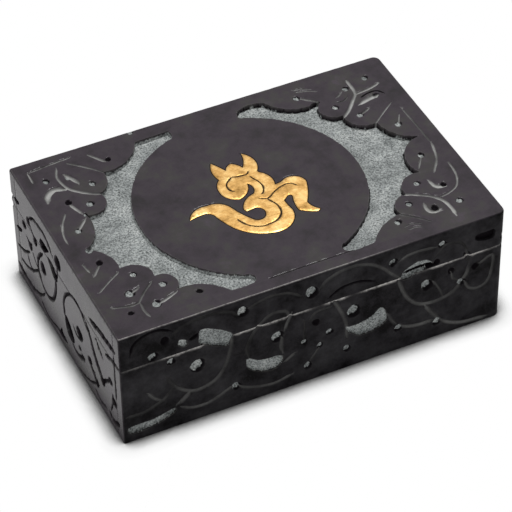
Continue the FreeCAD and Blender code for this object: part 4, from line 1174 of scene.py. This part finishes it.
om_lines = [
    ((71.4, 60.9), (70.2, 60), (68.8, 58.8), (67.9, 57.6), (67.6, 56), (67.9, 54.3),
     (68.8, 53.4), (69.3, 53.2)),
    ((71.4, 60.9), (73.3, 60.3), (75, 60.1), (76.7, 59.8), (77.8, 60.5), (78.3, 61.2)),
    ((77.6, 58.4), (78.4, 56.4), (79.1, 54.7), (79.6, 52.6), (79.5, 50.9), (78.8, 49.1),
     (77.9, 47.9), (77.1, 47.5)),
    ((75.5, 45.7), (76.7, 45), (78.1, 44.3)),
    ((78.1, 44.3), (79.8, 45.2), (81.6, 46.4), (83.3, 47.4), (85, 48.1), (87.1, 48.6),
     (88.4, 48.6), (89.8, 47.8), (90.9, 46.4)),
    ((78.1, 44.3), (78.6, 42.9), (79.5, 40.9), (79.9, 38.8), (79.8, 36.7), (79, 34.7),
     (77.1, 32.8), (75, 31.9), (72.6, 31.6), (70.2, 31.5), (68.1, 32.4), (66, 34),
     (64.7, 35.9), (63.8, 37.9), (63.6, 38.8)),
]
om_marks = [Groove(0.7, 0.3, *line) for line in om_lines]
points, triangles, depth, layers = carved_sheet(om_line, om_marks, coarse=1.2)
engraved = np.zeros(len(points))
for mark in om_marks:
    engraved = np.maximum(engraved, np.clip(mark.cut(points)[0] / 0.12, 0, 1))
depth = np.maximum(depth - 0.015, 0.0)
vertices = np.column_stack([points - np.array([LENGTH / 2, WIDTH / 2]), TOP - depth])
count = len(om_line)
under = len(vertices)
vertices = np.vstack([vertices, vertices[:count]])
vertices[under:, 2] = TOP - OM_THICKNESS
faces = [tuple(t) for t in triangles]
for i in range(count):
    j = (i + 1) % count
    faces.append((i, under + i, under + j, j))
faces.append(tuple(range(under + count - 1, under - 1, -1)))
om_mesh = stone_mesh("om_inlay", vertices, faces,
                     {"engraved": np.append(engraved, np.zeros(count))}, len(faces))

brass = bpy.data.materials.new("satin_brass")
brass.use_nodes = True
tree = brass.node_tree
shader = tree.nodes["Principled BSDF"]
shader.inputs["Metallic"].default_value = 1.0
tarnish = noise_node(tree, 170.0, 6.0, 0.72)
brass_colour = ramp_node(
    tree, tarnish.outputs["Fac"],
    [(0.3, (0.17, 0.09, 0.022)), (0.48, (0.37, 0.215, 0.07)), (0.7, (0.56, 0.385, 0.16))],
)
engraving = tree.nodes.new("ShaderNodeAttribute")
engraving.attribute_name = "engraved"
dark_lines = mix_node(tree, engraving.outputs["Fac"], brass_colour, (0.02, 0.014, 0.01))
tree.links.new(dark_lines, shader.inputs["Base Color"])
file_marks = noise_node(tree, 1800.0, 2.0, 0.6, stretch=(0.12, 1.0, 1.0))
brass_roughness = math_node(tree, "MULTIPLY_ADD", file_marks.outputs["Fac"], 0.25, 0.26)
tree.links.new(brass_roughness, shader.inputs["Roughness"])
brass_bump = tree.nodes.new("ShaderNodeBump")
brass_bump.inputs["Strength"].default_value = 0.3
brass_bump.inputs["Distance"].default_value = 0.05 * MM
tree.links.new(file_marks.outputs["Fac"], brass_bump.inputs["Height"])
tree.links.new(brass_bump.outputs["Normal"], shader.inputs["Normal"])
om_sign = finished("om_inlay_engraved", om_mesh, [brass], "lid", "om_inlay", slot="brass")


# Hinges
# Two small butt hinges of sheet brass, their leaves let into the seam behind and nailed, with
# a plain wire pin through the three knuckles. Their own shapes in the frame are shown.

for node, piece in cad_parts.items():
    if node.startswith("hinge"):
        piece.data.materials.clear()
        piece.data.materials.append(brass)


# Table, light and camera
# A white table without an edge, a broad soft light high behind on the right, weaker ones on the
# left and in front, and the camera where the photograph was taken from.

bpy.ops.mesh.primitive_plane_add(size=12, location=(0, 0, 0))
table_top = bpy.context.object
table_top.name = "table_top"
white = bpy.data.materials.new("white_table")
white.use_nodes = True
tree = white.node_tree
tree.nodes.clear()
output = tree.nodes.new("ShaderNodeOutputMaterial")
matt = tree.nodes.new("ShaderNodeBsdfDiffuse")
matt.inputs["Color"].default_value = (0.7, 0.7, 0.7, 1)
# Near the box the table's glow is darkened by ambient occlusion: a painted contact shadow.
near_box = tree.nodes.new("ShaderNodeAmbientOcclusion")
near_box.samples = 8
near_box.inputs["Distance"].default_value = 9 * MM
shadow = ramp_node(
    tree, near_box.outputs["AO"],
    [(0.48, (0.02, 0.02, 0.02)), (0.62, (0.25, 0.25, 0.25)), (0.85, (0.86, 0.86, 0.86)),
     (1.0, (1, 1, 1))],
)
seen = tree.nodes.new("ShaderNodeEmission")
tree.links.new(shadow, seen.inputs["Color"])
rays = tree.nodes.new("ShaderNodeLightPath")
direct = math_node(tree, "ADD", rays.outputs["Is Camera Ray"], rays.outputs["Is Glossy Ray"])
direct = math_node(tree, "ADD", direct, rays.outputs["Is Transmission Ray"], clamp=True)
choice = tree.nodes.new("ShaderNodeMixShader")
tree.links.new(direct, choice.inputs[0])
tree.links.new(matt.outputs[0], choice.inputs[1])
tree.links.new(seen.outputs[0], choice.inputs[2])
tree.links.new(choice.outputs[0], output.inputs["Surface"])
table_top.data.materials.append(white)

world = bpy.data.worlds.new("white_room")
bpy.context.scene.world = world
world.use_nodes = True
tree = world.node_tree
background = tree.nodes["Background"]
background.inputs["Color"].default_value = (1, 1, 1, 1)
rays = tree.nodes.new("ShaderNodeLightPath")
direct = math_node(tree, "ADD", rays.outputs["Is Camera Ray"], rays.outputs["Is Glossy Ray"])
direct = math_node(tree, "ADD", direct, rays.outputs["Is Transmission Ray"], clamp=True)
ROOM_LIGHT = 0.22
strength = math_node(tree, "MULTIPLY_ADD", direct, 1 - ROOM_LIGHT, ROOM_LIGHT)
tree.links.new(strength, background.inputs["Strength"])

TARGET = Vector((-0.0034, -0.0072, 0.0255))
for name, place, size, power in (
    ("soft_light_above", (0.5, 0.5, 1.55), 0.45, 22.0),
    ("soft_light_left", (-1.2, -0.1, 0.5), 0.5, 4.0),
    ("soft_light_front", (-0.2, -1.4, 0.45), 0.7, 4.5),
):
    lamp_data = bpy.data.lights.new(name, "AREA")
    lamp_data.size = size
    lamp_data.energy = power
    lamp = bpy.data.objects.new(name, lamp_data)
    lamp.location = place
    lamp.rotation_mode = "QUATERNION"
    lamp.rotation_quaternion = (TARGET - lamp.location).to_track_quat("-Z", "Y")
    bpy.context.scene.collection.objects.link(lamp)

camera_data = bpy.data.cameras.new("camera")
camera_data.lens = 184.96
camera_data.sensor_width = 36.0
camera_data.clip_end = 50.0
camera = bpy.data.objects.new("camera", camera_data)
camera.location = (-0.3040, -0.6569, 0.6769)
ROLL = math.radians(-0.932)
look = (TARGET - camera.location).to_track_quat("-Z", "Y")
camera.rotation_mode = "QUATERNION"
camera.rotation_quaternion = look @ Quaternion((0, 0, 1), ROLL)
bpy.context.scene.collection.objects.link(camera)
bpy.context.scene.camera = camera
bpy.context.scene.view_settings.view_transform = "Standard"
